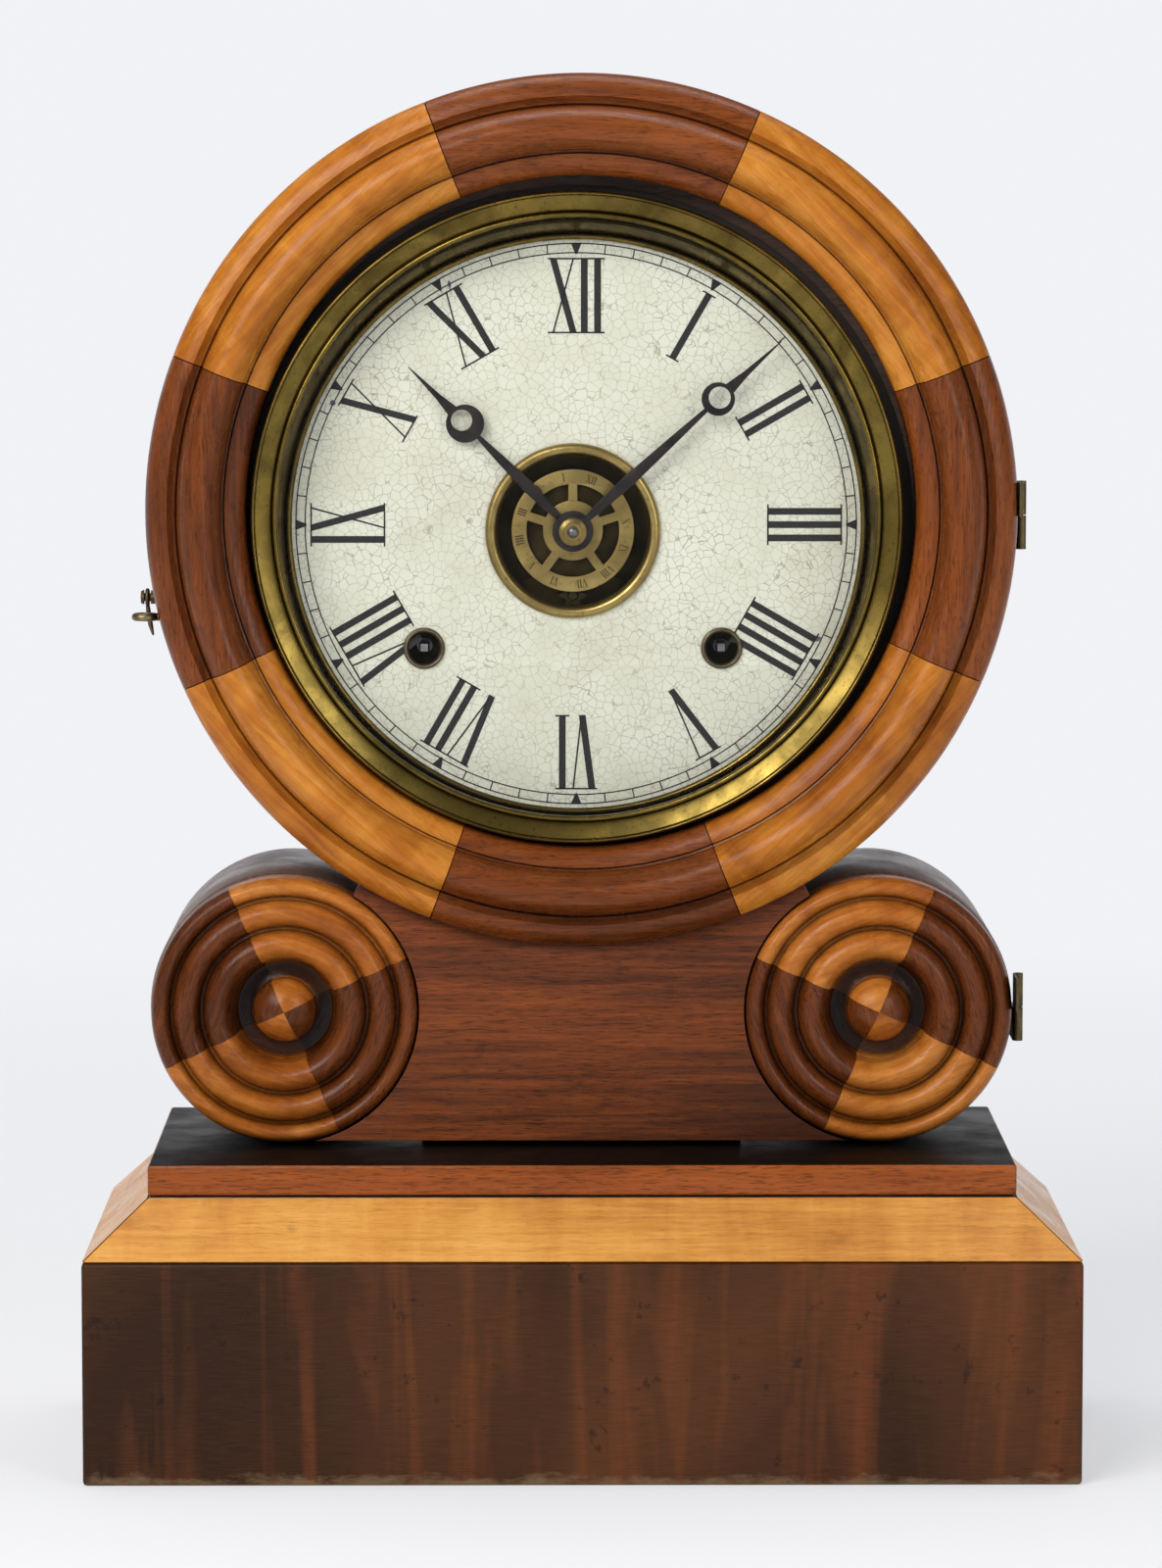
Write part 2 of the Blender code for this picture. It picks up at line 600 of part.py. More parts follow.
def crossings(hub, rim, spokes, width, phase=0.0):
    """The openings between a wheel's spokes."""
    loops = []
    for i in range(spokes):
        middle = phase + 360 * (i + 0.5) / spokes
        outer_half = 180 / spokes - degrees(width / 2 / rim)
        inner_half = 180 / spokes - degrees(width / 2 / hub)
        outer = circle(rim, 4, (0, 0), middle - outer_half, middle + outer_half)
        inner = circle(hub, 2, (0, 0), middle - inner_half, middle + inner_half)
        loops.append(outer + inner[::-1])
    return loops


def wheel_mesh(name, teeth, module, phase, low, high, spokes=4, bore=None):
    pitch = teeth * module / 2
    loops = [toothed(teeth, module, phase)]
    loops += crossings(pitch * 0.3, pitch - 3.2 * module, spokes, 2.6 * module) if spokes else []
    loops += [circle(bore, 14)] if bore else []
    return outline_mesh(name, loops, low, high)


def heading(start, end):
    return degrees(atan2(end[1] - start[1], end[0] - start[0]))


def step_from(start, distance, angle):
    return (start[0] + distance * cos(radians(angle)), start[1] + distance * sin(radians(angle)))


# Places of the arbors, as (x, z) from the centre of the dial
MESH = (WHEEL_TEETH + PINION_LEAVES) * GEAR_MODULE / 2
CENTRE = (0.0, 0.0)
MAIN_TIME = (WINDING_X, -WINDING_DROP)
MAIN_STRIKE = (-WINDING_X, -WINDING_DROP)
HALF_SPAN = hypot(*MAIN_TIME) / 2
SECOND_LEAN = degrees(atan2(sqrt(MESH**2 - HALF_SPAN**2), HALF_SPAN))
SECOND = step_from(CENTRE, MESH, heading(CENTRE, MAIN_TIME) + SECOND_LEAN)
THIRD = step_from(CENTRE, MESH, THIRD_ANGLE_DEG)
ESCAPE = step_from(THIRD, (THIRD_TEETH + PINION_LEAVES) * GEAR_MODULE / 2, ESCAPE_ANGLE_DEG)
VERGE = (ESCAPE[0], ESCAPE[1] + VERGE_RISE)
MOTION = (0.0, -(CANNON_LEAVES + MOTION_TEETH) * MOTION_MODULE / 2)
HAMMER = (-0.020, -0.048)
LAYERS = [MAIN_LAYER + LAYER_STEP * i for i in range(5)]
PILLAR_X = PLATE_HALF_WIDTH - 2 * PILLAR_RADIUS
PILLAR_HEIGHTS = (PLATE_TOP - 2 * PILLAR_RADIUS, 2 * PILLAR_RADIUS - PLATE_BOTTOM)
CORNERS = [(side * PILLAR_X, z) for side in (-1, 1) for z in PILLAR_HEIGHTS]
FRONT_REACH = PLATE_INNER - DIAL_FACE


def at_dial(spot, y=PLATE_INNER):
    """The world place of an arbor at a depth y."""
    return (DIAL_X + spot[0], y, DIAL_Z + spot[1])


def arbor_mesh(name, front=PLATE_THICK, pivot=PIVOT_RADIUS):
    """A turned arbor with a thin pivot in each plate."""
    back = -PLATE_SPACING
    points = [(0, back - PLATE_THICK), (PIVOT_RADIUS, back - PLATE_THICK), (PIVOT_RADIUS, back + SEAT)]
    points += [(ARBOR_RADIUS, back + SEAT)]
    points += [(ARBOR_RADIUS, -SEAT), (pivot, -SEAT)] if pivot < ARBOR_RADIUS else []
    return swept_mesh(name, points + [(pivot, front), (0, front)], 5, 365, 10)


def train_wheel(name, spot, teeth, layer, tooth_at, leaf_layer, leaf_at):
    """An arbor with its wheel and its pinion, each in mesh at rest."""
    carrier = axis_empty(name + "_axis", at_dial(spot))
    body = add(name, arbor_mesh(name), BRASS, at_dial(spot), FACING, carrier)
    half = WHEEL_THICK / 2
    boolean(body, wheel_mesh(name, teeth, GEAR_MODULE, tooth_at, -layer - half, half - layer), "UNION")
    half = PINION_LENGTH / 2
    valley = leaf_at + 180 / PINION_LEAVES
    leaves = wheel_mesh(name, PINION_LEAVES, GEAR_MODULE, valley, -leaf_layer - half, half - leaf_layer, 0)
    boolean(body, leaves, "UNION")
    return body


def build_time_train():
    inward, outward = heading(SECOND, CENTRE), heading(SECOND, MAIN_TIME)
    train_wheel("second_wheel", SECOND, WHEEL_TEETH, LAYERS[1], inward, LAYERS[0], outward)
    inward, outward = heading(THIRD, CENTRE), heading(THIRD, ESCAPE)
    train_wheel("third_wheel", THIRD, THIRD_TEETH, LAYERS[3], outward, LAYERS[2], inward)
    build_centre_arbor()
    build_escape_wheel()


def build_centre_arbor():
    """The minute arbor: pinion and wheel between the plates, cannon pinion and a long nose in front."""
    nose = FRONT_REACH + 0.0070
    carrier = axis_empty("centre_axis", at_dial(CENTRE))
    arbor = arbor_mesh("centre_arbor", nose, ARBOR_RADIUS)
    body = add("centre_arbor", arbor, BRASS, at_dial(CENTRE), FACING, carrier)
    half = WHEEL_THICK / 2
    aim = heading(CENTRE, THIRD)
    wheel = wheel_mesh("centre", WHEEL_TEETH, GEAR_MODULE, aim, -LAYERS[2] - half, half - LAYERS[2])
    boolean(body, wheel, "UNION")
    half = PINION_LENGTH / 2
    valley = heading(CENTRE, SECOND) + 180 / PINION_LEAVES
    low, high = -LAYERS[1] - half, half - LAYERS[1]
    boolean(body, wheel_mesh("leaves", PINION_LEAVES, GEAR_MODULE, valley, low, high, 0), "UNION")
    valley = heading(CENTRE, MOTION) + 180 / CANNON_LEAVES
    cannon = wheel_mesh("cannon", CANNON_LEAVES, MOTION_MODULE, valley, CANNON_LOW, CANNON_LOW + 0.003, 0)
    boolean(body, cannon, "UNION")


def build_motion_work():
    """The wheels behind the dial that give the hour hand a twelfth of the minute hand's speed."""
    carrier = axis_empty("motion_axis", at_dial(MOTION))
    up = heading(MOTION, CENTRE)
    low = CANNON_LOW + 0.0008
    wheel = wheel_mesh("motion_wheel", MOTION_TEETH, MOTION_MODULE, up, low, low + WHEEL_THICK, 0)
    body = add("motion_wheel", wheel, BRASS, at_dial(MOTION), FACING, carrier)
    valley = up + 180 / PINION_LEAVES
    foot = low + WHEEL_THICK / 2
    leaves = wheel_mesh("leaves", PINION_LEAVES, HOUR_MODULE, valley, foot, HOUR_LOW + 0.0022, 0)
    boolean(body, leaves, "UNION")
    bore = rod_mesh("bore", ARBOR_RADIUS + RUNNING, FRONT_REACH, 13)
    boolean(body, bore, "DIFFERENCE")
    carrier = axis_empty("hour_axis", at_dial(CENTRE))
    wheel = wheel_mesh("hour_wheel", HOUR_TEETH, HOUR_MODULE, -up, HOUR_LOW, HOUR_LOW + WHEEL_THICK, 0)
    body = add("hour_wheel", wheel, BRASS, at_dial(CENTRE), FACING, carrier)
    pipe = moved(rod_mesh("pipe", PIPE_RADIUS, FRONT_REACH + 0.0032 - HOUR_LOW, 20), (0, 0, HOUR_LOW))
    boolean(body, pipe, "UNION")
    boolean(body, rod_mesh("bore", ARBOR_RADIUS + RUNNING, 2 * FRONT_REACH, 16), "DIFFERENCE")


def build_escape_wheel():
    carrier = axis_empty("escape_axis", at_dial(ESCAPE))
    body = add("escape_wheel", arbor_mesh("escape_wheel"), BRASS, at_dial(ESCAPE), FACING, carrier)
    half = PINION_LENGTH / 2
    valley = heading(ESCAPE, THIRD) + 180 / PINION_LEAVES
    low, high = -LAYERS[3] - half, half - LAYERS[3]
    boolean(body, wheel_mesh("leaves", PINION_LEAVES, GEAR_MODULE, valley, low, high, 0), "UNION")
    rim = []
    for i in range(ESCAPE_TEETH):
        turn = 360 * i / ESCAPE_TEETH + 90
        rim.append(step_from(CENTRE, ESCAPE_RADIUS, turn))
        rim.append(step_from(CENTRE, ESCAPE_RADIUS - 0.0024, turn + 90 / ESCAPE_TEETH))
    loops = [rim] + crossings(0.0036, ESCAPE_RADIUS - 0.0042, 4, 0.0018)
    boolean(body, outline_mesh("escape", loops, -LAYERS[4] - 0.0005, 0.0005 - LAYERS[4]), "UNION")


# Winding: the arbors that the key turns, the main wheels loose on them and the coiled springs
def build_winding():
    tip = FRONT_REACH - 0.0022
    for spot, name, aim in ((MAIN_TIME, "time", SECOND), (MAIN_STRIKE, "strike", CENTRE)):
        carrier = axis_empty(f"winding_{name}_axis", at_dial(spot))
        back = -PLATE_SPACING
        shoulder = PLATE_THICK + 0.002
        points = [(0, back - PLATE_THICK), (PIVOT_RADIUS, back - PLATE_THICK), (PIVOT_RADIUS, back + SEAT)]
        points += [(WINDING_RADIUS, back + SEAT), (WINDING_RADIUS, shoulder), (0, shoulder)]
        arbor = swept_mesh("winding_arbor_" + name, points, 0, 360, 16)
        body = add("winding_arbor_" + name, arbor, STEEL, at_dial(spot), FACING, carrier)
        half = WINDING_SQUARE / 2
        boolean(body, box_mesh("square", (-half, -half, 0), (half, half, tip), 0.0004), "UNION")
        half = WHEEL_THICK / 2
        bore = WINDING_RADIUS + RUNNING
        aim_at = heading(spot, aim)
        low, high = -LAYERS[0] - half, half - LAYERS[0]
        wheel = wheel_mesh("main", WHEEL_TEETH, GEAR_MODULE, aim_at, low, high, 4, bore)
        carrier = axis_empty(f"main_wheel_{name}_axis", at_dial(spot))
        add("main_wheel_" + name, wheel, BRASS, at_dial(spot), FACING, carrier)
        start = -LAYERS[4]
        spring = ring_mesh("spring", bore, SPRING_RADIUS, SPRING_CLEARANCE - PLATE_SPACING, start, 32)
        add("mainspring_" + name, spring, STEEL, at_dial(spot), FACING)


# Plates: the back one carries the pillars, the feet and the cock that the pendulum hangs on
def plate_outline():
    edge = 0.004
    right = PLATE_HALF_WIDTH
    top, low = PLATE_TOP, -PLATE_BOTTOM
    half = [(right, low + edge), (right, top - edge), (right - edge, top)]
    half = [(right - edge, low)] + half
    return half + [(-x, z) for x, z in half[::-1]]


def pivot_holes(extra):
    """The holes that the arbors turn in, as loops."""
    small = PIVOT_RADIUS + RUNNING
    holes = {spot: small for spot in (CENTRE, SECOND, THIRD, ESCAPE, VERGE, HAMMER, MAIN_TIME, MAIN_STRIKE)}
    holes.update(extra)
    return [circle(radius, 8, spot) for spot, radius in holes.items()]


def build_plates():
    winding = WINDING_RADIUS + RUNNING
    wide = {CENTRE: ARBOR_RADIUS + RUNNING, MAIN_TIME: winding, MAIN_STRIKE: winding}
    front = outline_mesh("front_plate", [plate_outline(), *pivot_holes(wide)], 0, PLATE_THICK)
    body = add("front_plate", front, BRASS, at_dial(CENTRE), FACING)
    stud = rod_mesh("stud", ARBOR_RADIUS, HOUR_LOW + 0.0028 - PLATE_THICK / 2, 12)
    boolean(body, moved(stud, (*MOTION, PLATE_THICK / 2)), "UNION")
    rear = -PLATE_SPACING - PLATE_THICK
    back = outline_mesh("back_plate", [plate_outline(), *pivot_holes({})], rear, -PLATE_SPACING)
    body = add("back_plate", back, BRASS, at_dial(CENTRE), FACING)
    seat = PLATE_INNER - CASE_BACK + SEAT
    for spot in CORNERS:
        post = rod_mesh("pillar", PILLAR_RADIUS, -SEAT - seat, 8)
        boolean(body, moved(post, (*spot, seat)), "UNION")
    build_cock(body, rear, seat)


def build_cock(plate, rear, seat):
    """A post, an arm and a stud behind the back plate, in line with the verge."""
    x, z = VERGE
    arm_back = seat + 0.0012
    post = rod_mesh("post", 0.002, rear + PLATE_THICK / 2 - arm_back, 12)
    boolean(plate, moved(post, (x, z + COCK_RISE, arm_back)), "UNION")
    half = 0.003
    low = (x - half, z - half, arm_back - 0.0006)
    arm = box_mesh("arm", low, (x + half, z + COCK_RISE + half, arm_back + 0.0012))
    boolean(plate, arm, "UNION")
    stud = rod_mesh("stud", STUD_RADIUS, rear - STUD_GAP - arm_back, 12)
    boolean(plate, moved(stud, (x, z, arm_back)), "UNION")


# Escapement and pendulum
def build_verge():
    carrier = axis_empty("verge_axis", at_dial(VERGE))
    back = -PLATE_SPACING
    crutch = back - PLATE_THICK - 0.0024
    points = [(0, crutch), (PIVOT_RADIUS, crutch), (PIVOT_RADIUS, back + SEAT), (ARBOR_RADIUS, back + SEAT)]
    points += [(ARBOR_RADIUS, -SEAT), (PIVOT_RADIUS, -SEAT), (PIVOT_RADIUS, PLATE_THICK), (0, PLATE_THICK)]
    body = add("verge", swept_mesh("verge", points, 5, 365, 10), STEEL, at_dial(VERGE), FACING, carrier)
    reach = ESCAPE_RADIUS * 0.74
    drop = VERGE_RISE - ESCAPE_RADIUS * 0.81
    half = [(0.0032, 0.0014), (reach + 0.0006, 0.002 - drop), (reach, -drop), (reach - 0.0016, 0.0018 - drop)]
    half += [(0.002, -0.0016)]
    anchor = [(0, 0.003)] + half + [(-px, pz) for px, pz in half[::-1]]
    boolean(body, outline_mesh("anchor", [anchor], -LAYERS[4] - 0.0009, 0.0009 - LAYERS[4]), "UNION")
    arm = box_mesh("arm", (-0.001, -CRUTCH_LENGTH, crutch), (0.001, 0.0015, crutch + 0.001))
    boolean(body, arm, "UNION")
    fork = PENDULUM_WIRE + RUNNING + 0.0007
    end = fork + 0.0006
    low = (-end, -CRUTCH_LENGTH - 0.001, crutch)
    bar = box_mesh("bar", low, (end, 0.001 - CRUTCH_LENGTH, crutch + 0.001))
    boolean(body, bar, "UNION")
    for side in (-1, 1):
        prong = rod_mesh("prong", 0.0007, crutch + 0.0005 - SWING_DEPTH + 0.0015, 8)
        boolean(body, moved(prong, (side * fork, -CRUTCH_LENGTH, SWING_DEPTH - 0.0015)), "UNION")


def build_pendulum():
    carrier = axis_empty("pendulum_axis", at_dial(VERGE))
    eye = STUD_RADIUS + RUNNING
    loop = ring_mesh("pendulum", eye, eye + 0.0018, SWING_DEPTH - 0.001, SWING_DEPTH + 0.001, 20)
    body = add("pendulum", loop, BRASS, at_dial(VERGE), FACING, carrier)
    drop = DIAL_Z + VERGE[1] - BOB_HEIGHT
    tail = -drop - BOB_RADIUS - PENDULUM_TAIL
    wire = tube_mesh("wire", [(0, -eye - 0.0009, SWING_DEPTH), (0, tail, SWING_DEPTH)], PENDULUM_WIRE)
    boolean(body, wire, "UNION")
    t = BOB_THICK / 2
    lens = [(0, -t), (BOB_RADIUS * 0.6, -t * 0.78), (BOB_RADIUS, -0.0006)]
    lens += [(r, -h) for r, h in lens[::-1]]
    boolean(body, moved(swept_mesh("bob", lens, 0, 360, 32), (0, -drop, SWING_DEPTH)), "UNION")


# Strike: the hammer and the coiled gong on its block
def build_strike():
    carrier = axis_empty("hammer_axis", at_dial(HAMMER))
    body = add("strike_hammer", arbor_mesh("strike_hammer"), STEEL, at_dial(HAMMER), FACING, carrier)
    layer = -LAYERS[3]
    boolean(body, tube_mesh("arm", [(0, 0, layer), (0, -HAMMER_DROP, layer)], 0.001), "UNION")
    head = rod_mesh("head", HAMMER_HEAD, HAMMER_LENGTH, 16)
    moved(head, (0, -HAMMER_DROP, layer - HAMMER_LENGTH / 2))
    boolean(body, head, "UNION")
    count = 16 * GONG_TURNS
    turns = [(GONG_INNER + GONG_STEP * i / 16, radians(-90 + 360 * i / 16)) for i in range(count + 1)]
    route = [(r * cos(a), r * sin(a), 0) for r, a in turns]
    route.append((0.0004, STEP_TOP + SEAT + GONG_BLOCK / 2 - GONG_HEIGHT, 0))
    place = (0.0005, PLATE_INNER + LAYERS[3], GONG_HEIGHT)
    gong = add("coiled_gong", tube_mesh("coiled_gong", route, GONG_WIRE, 1), STEEL, place, FACING)
    low = STEP_TOP + SEAT - GONG_HEIGHT
    half, deep = GONG_BLOCK_WIDTH / 2, GONG_BLOCK_DEPTH / 2
    boolean(gong, box_mesh("block", (-half, low, -deep), (half, low + GONG_BLOCK, deep)), "UNION")


# Hands, the alarm disc and the collet that keeps them on
def hand_loops(length, moon_at, moon, bore, lean):
    """A hand that points along +X: hub, swelling shaft, pierced moon and a needle tip."""
    root, swell, neck, spear = 0.0011, 0.0017, 0.0006, 0.0016
    hub_half = degrees(asin(root / HAND_HUB))
    near = degrees(asin(neck / moon))
    far = degrees(asin(spear / moon))
    lower = [(HAND_HUB + (moon_at - HAND_HUB) * 0.3, -swell)]
    lower += circle(moon, 9, (moon_at, 0), 180 + near, 360 - far)
    upper = [(x, -y) for x, y in lower[::-1]]
    outline = circle(HAND_HUB, 20, (0, 0), hub_half, 360 - hub_half) + lower + [(length, 0)] + upper
    window = circle(moon * MOON_HOLE_SHARE, 14, (moon_at + moon * lean, 0))
    return [outline, window, circle(bore, 14)]


def build_hands():
    turn = {"minute": MINUTE_ANGLE_DEG, "hour": HOUR_ANGLE_DEG}
    loops = {}
    bore = ARBOR_RADIUS + SEAT
    loops["minute"] = hand_loops(MINUTE_LENGTH, MINUTE_MOON, MINUTE_MOON_RADIUS, bore, MINUTE_MOON_LEAN)
    bore = PIPE_RADIUS + SEAT
    loops["hour"] = hand_loops(HOUR_LENGTH, HOUR_MOON, HOUR_MOON_RADIUS, bore, HOUR_MOON_LEAN)
    fronts = {"minute": FRONT_REACH + 0.0045, "hour": FRONT_REACH + 0.0024}
    for name, outline in loops.items():
        carrier = axis_empty(name + "_hand_axis", at_dial(CENTRE))
        low = fronts[name]
        mesh = outline_mesh(name + "_hand", outline, low, low + HAND_THICK)
        mesh.transform(Matrix.Rotation(radians(turn[name]), 4, "Z"))
        add(name + "_hand", mesh, BLACK, at_dial(CENTRE), FACING, carrier)
    seat = fronts["minute"] + HAND_THICK + SEAT
    bore = ARBOR_RADIUS + SEAT
    top = seat + COLLET_HEIGHT
    dome = [(bore, seat), (COLLET_RADIUS, seat), (COLLET_RADIUS, seat + COLLET_EDGE)]
    dome += [(COLLET_CROWN, top), (bore, top)]
    carrier = axis_empty("hand_collet_axis", at_dial(CENTRE))
    add("hand_collet", swept_mesh("hand_collet", dome, 0, 360, 24), BRASS, at_dial(CENTRE), FACING, carrier)
    carrier = axis_empty("alarm_axis", at_dial(CENTRE))
    low = PLATE_INNER - DIAL_BACK - 0.0006 - ALARM_THICK
    windows = crossings(ALARM_HUB, ALARM_INNER, ALARM_SPOKES, 0.0026, 18)
    disc = [circle(ALARM_RADIUS, 40), circle(PIPE_RADIUS + RUNNING, 16), *windows]
    mesh = outline_mesh("alarm_disc", disc, low, low + ALARM_THICK)
    add("alarm_disc", mesh, BRASS, at_dial(CENTRE), FACING, carrier)


# Latch: an eye on the door's edge and a hook that turns on a screw in the case
def build_latch(carrier):
    angle = radians(EYE_ANGLE_DEG)
    eye_x = RING_RADIUS * cos(angle) - SEAT - EYE_RADIUS
    eye_at = (eye_x, DOOR_BACK - PANEL_THICK, HEAD_Z + RING_RADIUS * sin(angle))
    eye = outline_mesh("latch_eye", [circle(EYE_RADIUS, 20), circle(EYE_HOLE, 14)], -0.0008, 0.0008)
    add("latch_eye", eye, BRASS, eye_at, (0, 0, 0), carrier)
    side = -sqrt(DRUM_RADIUS**2 - LATCH_DROP**2) - SEAT
    pivot = (side, CASE_FRONT + LATCH_SETBACK, HEAD_Z - LATCH_DROP)
    shank = 0.0012
    near = 0.0023
    head = near + LATCH_THICK + SEAT
    points = [(0, 0), (0.002, 0), (0.002, near - SEAT), (shank, near - SEAT), (shank, head)]
    points += [(0.0022, head), (0.0018, head + 0.0009), (0, head + 0.0011)]
    add("latch_screw", swept_mesh("latch_screw", points, 0, 360, 16), BRASS, pivot, (0, -pi / 2, 0))
    bore = shank + RUNNING
    knuckle = bore + 0.0012
    half = LATCH_WIDTH / 2
    lead = degrees(asin(half / knuckle))
    arc = circle(knuckle, 16, (0, 0), lead - 90, 270 - lead)
    tip = [(-half, -LATCH_LENGTH + half), (0, -LATCH_LENGTH), (half, -LATCH_LENGTH + half)]
    hook = outline_mesh("latch_hook", [arc + tip, circle(bore, 12)], -near - LATCH_THICK, -near)
    hook_axis = axis_empty("latch_axis", pivot)
    add("latch_hook", hook, BRASS, pivot, (pi / 2, 0, pi / 2), hook_axis)


def main():
    build_plinth()
    build_case()
    door = build_door()
    build_glazing(door)
    build_dial()
    build_hinges(door)
    build_latch(door)
    build_plates()
    build_winding()
    build_time_train()
    build_motion_work()
    build_verge()
    build_pendulum()
    build_strike()
    build_hands()


main()
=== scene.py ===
"""Looks of a wooden shelf clock: finer woodwork, a painted dial, aged brass, light and camera.

Metres, +Z up, front of the clock towards -Y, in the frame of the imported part.
"""

import json
from math import asin, atan2, cos, degrees, pi, radians, sin

import bmesh
import bpy
from mathutils import Matrix, Vector


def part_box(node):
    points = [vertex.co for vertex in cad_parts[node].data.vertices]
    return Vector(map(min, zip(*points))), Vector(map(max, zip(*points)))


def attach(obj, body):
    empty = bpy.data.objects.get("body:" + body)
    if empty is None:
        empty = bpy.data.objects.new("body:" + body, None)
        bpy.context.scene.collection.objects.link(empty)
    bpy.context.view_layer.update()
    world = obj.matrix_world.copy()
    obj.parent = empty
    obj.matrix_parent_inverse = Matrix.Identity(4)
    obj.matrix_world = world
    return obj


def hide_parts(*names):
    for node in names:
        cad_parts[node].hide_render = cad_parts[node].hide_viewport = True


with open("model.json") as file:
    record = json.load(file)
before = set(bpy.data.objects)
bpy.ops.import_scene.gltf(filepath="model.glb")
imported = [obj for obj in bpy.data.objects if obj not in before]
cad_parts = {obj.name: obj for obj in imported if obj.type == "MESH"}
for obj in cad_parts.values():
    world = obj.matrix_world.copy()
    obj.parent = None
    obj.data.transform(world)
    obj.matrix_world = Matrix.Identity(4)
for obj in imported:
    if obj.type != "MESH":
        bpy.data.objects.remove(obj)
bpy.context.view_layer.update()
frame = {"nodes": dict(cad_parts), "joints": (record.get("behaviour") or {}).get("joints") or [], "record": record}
JOINTS = {joint["name"]: joint for joint in frame["joints"]}

# Camera
CAMERA_PLACE = (-0.011, -1.816, 0.3725)
CAMERA_TILT_DEG = 5.55
CAMERA_TURN_DEG = -0.344
LENS = 142.2
SENSOR = 36.0

# Places from the frame
HINGE = Vector(JOINTS["door_swing"]["pos_m"])
ARBOR = Vector(JOINTS["minute_turn"]["pos_m"])
HEAD_Z = HINGE.z
DOOR_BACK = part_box("door_waist_panel")[1].y
DOOR_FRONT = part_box("door_waist_panel")[0].y
CASE_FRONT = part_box("drum_shell")[0].y
CASE_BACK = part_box("drum_shell")[1].y
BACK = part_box("back_board")[1].y
DIAL_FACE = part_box("dial_plate")[0].y
DIAL_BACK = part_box("dial_plate")[1].y
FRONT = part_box("base_front_board")[0].y
HALF_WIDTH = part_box("base_front_board")[1].x
BEVEL_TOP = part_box("base_bevel_moulding")[1].z
STEP_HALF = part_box("base_step_plate")[1].x
WAIST_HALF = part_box("waist_side_right")[1].x

# Softened edges of boards and plates
BOARD_EDGE = 0.0012
BACK_EDGE = 0.0010
BEVEL_EDGE = 0.0003
STEP_EDGE = 0.0009
ROLL_EDGE = 0.0012
PANEL_EDGE = 0.0006
WAIST_EDGE = 0.0002
DIAL_EDGE = 0.0001
HAND_EDGE = 0.00014
ALARM_EDGE = 0.00012
PANE_EDGE = 0.0003

# Meshes: points nearer than this are one, edges sharper than this stay sharp, and a face whose normal
# rises more than this counts as a level top
MERGE = 0.000002
SMOOTH_DEG = 35
LEVEL = 0.8

# Round head
SEAM = 0.00025
RING_RADIUS = 0.127
RING_HOLE = 0.0975
RING_JOINTS_DEG = (21, 66, 111, 159, 204, 249.5, 291.5, 337)
DRUM_WALL = 0.013
WAIST_LIFT = 0.0010

# Ring moulding: radii, and heights above the door's back
RIM_WIDTH = 0.0074
RIM_FOOT = 0.0105
RIM_RISE = 0.0071
RIM_END_DEG = 84
FILLET = ((0.1192, 0.0166), (0.1182, 0.0165), (0.1177, 0.0160))
TORUS_OUTER = 0.1175
TORUS_INNER = 0.1047
TORUS_FOOT = 0.0166
TORUS_RISE = 0.0090
INNER_BAND = ((0.1047, 0.0158), (0.1042, 0.0156), (0.1037, 0.0162), (0.1022, 0.0160))
INNER_BAND += ((0.1004, 0.0152), (0.0988, 0.0138), (0.0977, 0.0120), (RING_HOLE, 0.0112))

# Rosettes: inner radius and rise of the rim, then outer radius, inner radius and rise of each ring
# inside it. Dirt and painted shade lie between the two radii of the pit
ROSETTE_JOINTS_DEG = (23.5, 114.5, 206.0, 294.5)
ROSETTE_SEAM_DEG = 0.06
ROSETTE_FOOT = 0.0054
ROSETTE_RIM = (0.0336, 0.0046)
ROSETTE_BANDS = ((0.0330, 0.0247, 0.0060), (0.0242, 0.0154, 0.0068))
ROSETTE_BAND_DEG = (14, 166)
ROSETTE_HOLLOW = ((0.0152, 0.0050), (0.0149, 0.0024), (0.0138, 0.0012), (0.0104, 0.0012))
ROSETTE_PIT = (0.0096, 0.0156)
BUTTON_RADIUS = 0.0095
BUTTON_FOOT = 0.0042
BUTTON_RISE = 0.0082
BUTTON_DEG = (-16, 90)

# Sash: insets from its rim, and heights above the door's back
SASH_WALL = 0.0012
SASH_BACK = 0.0003
SASH_SHOULDER = 0.0130
SASH_RIM_WIDTH = 0.0014
SASH_RIM_FOOT = 0.0134
SASH_RIM_RISE = 0.0013
SASH_SLOPE = ((0.0016, 0.0133), (0.0030, 0.0127), (0.0048, 0.0117), (0.0060, 0.0110))
SASH_SIGHT = 0.0078
SASH_BEAD_OUTER = 0.0061
SASH_BEAD_FOOT = 0.0109
SASH_BEAD_RISE = 0.0010
SASH_SEAT = 0.0096
PANE_THICK = 0.002

# Dial. The surround falls by insets from its rim and drops from its front, and its foot is measured
# from the sight edge and the dial
DIAL_RADIUS = 0.099
# Beyond this radius the dial is painted near-black as shade in the gap round the sash
DIAL_SHADE_FROM = 0.0880
DIAL_GAP = 0.0003
SURROUND_SLOPE = 0.0060
SURROUND_FALL = ((0.0009, 0.0), (0.0014, 0.0022), (0.0026, 0.0050))
SURROUND_FOOT = ((0.0021, 0.0022),)
SURROUND_BEAD = 0.0020
SURROUND_BEAD_FOOT = 0.0009
CENTRE_HOLE = 0.0225
CENTRE_HEM = {"width": 0.0032, "rise": 0.0016, "inset": 0.0004, "drop": 0.0006, "steps": 14}
WINDING_X = 0.0437
WINDING_DROP = 0.0345
WINDING_HOLE = 0.0048
WINDING_HEM = {"width": 0.0013, "rise": 0.0008, "inset": 0.0002, "drop": 0.0004, "steps": 8}
TRACK_OUTER = 0.0824
TRACK_INNER = 0.0797
TRACK_LINE = 0.00036
TRACK_STEPS = 180
NUMERAL_OUTER = 0.0780
NUMERAL_INNER = 0.0560
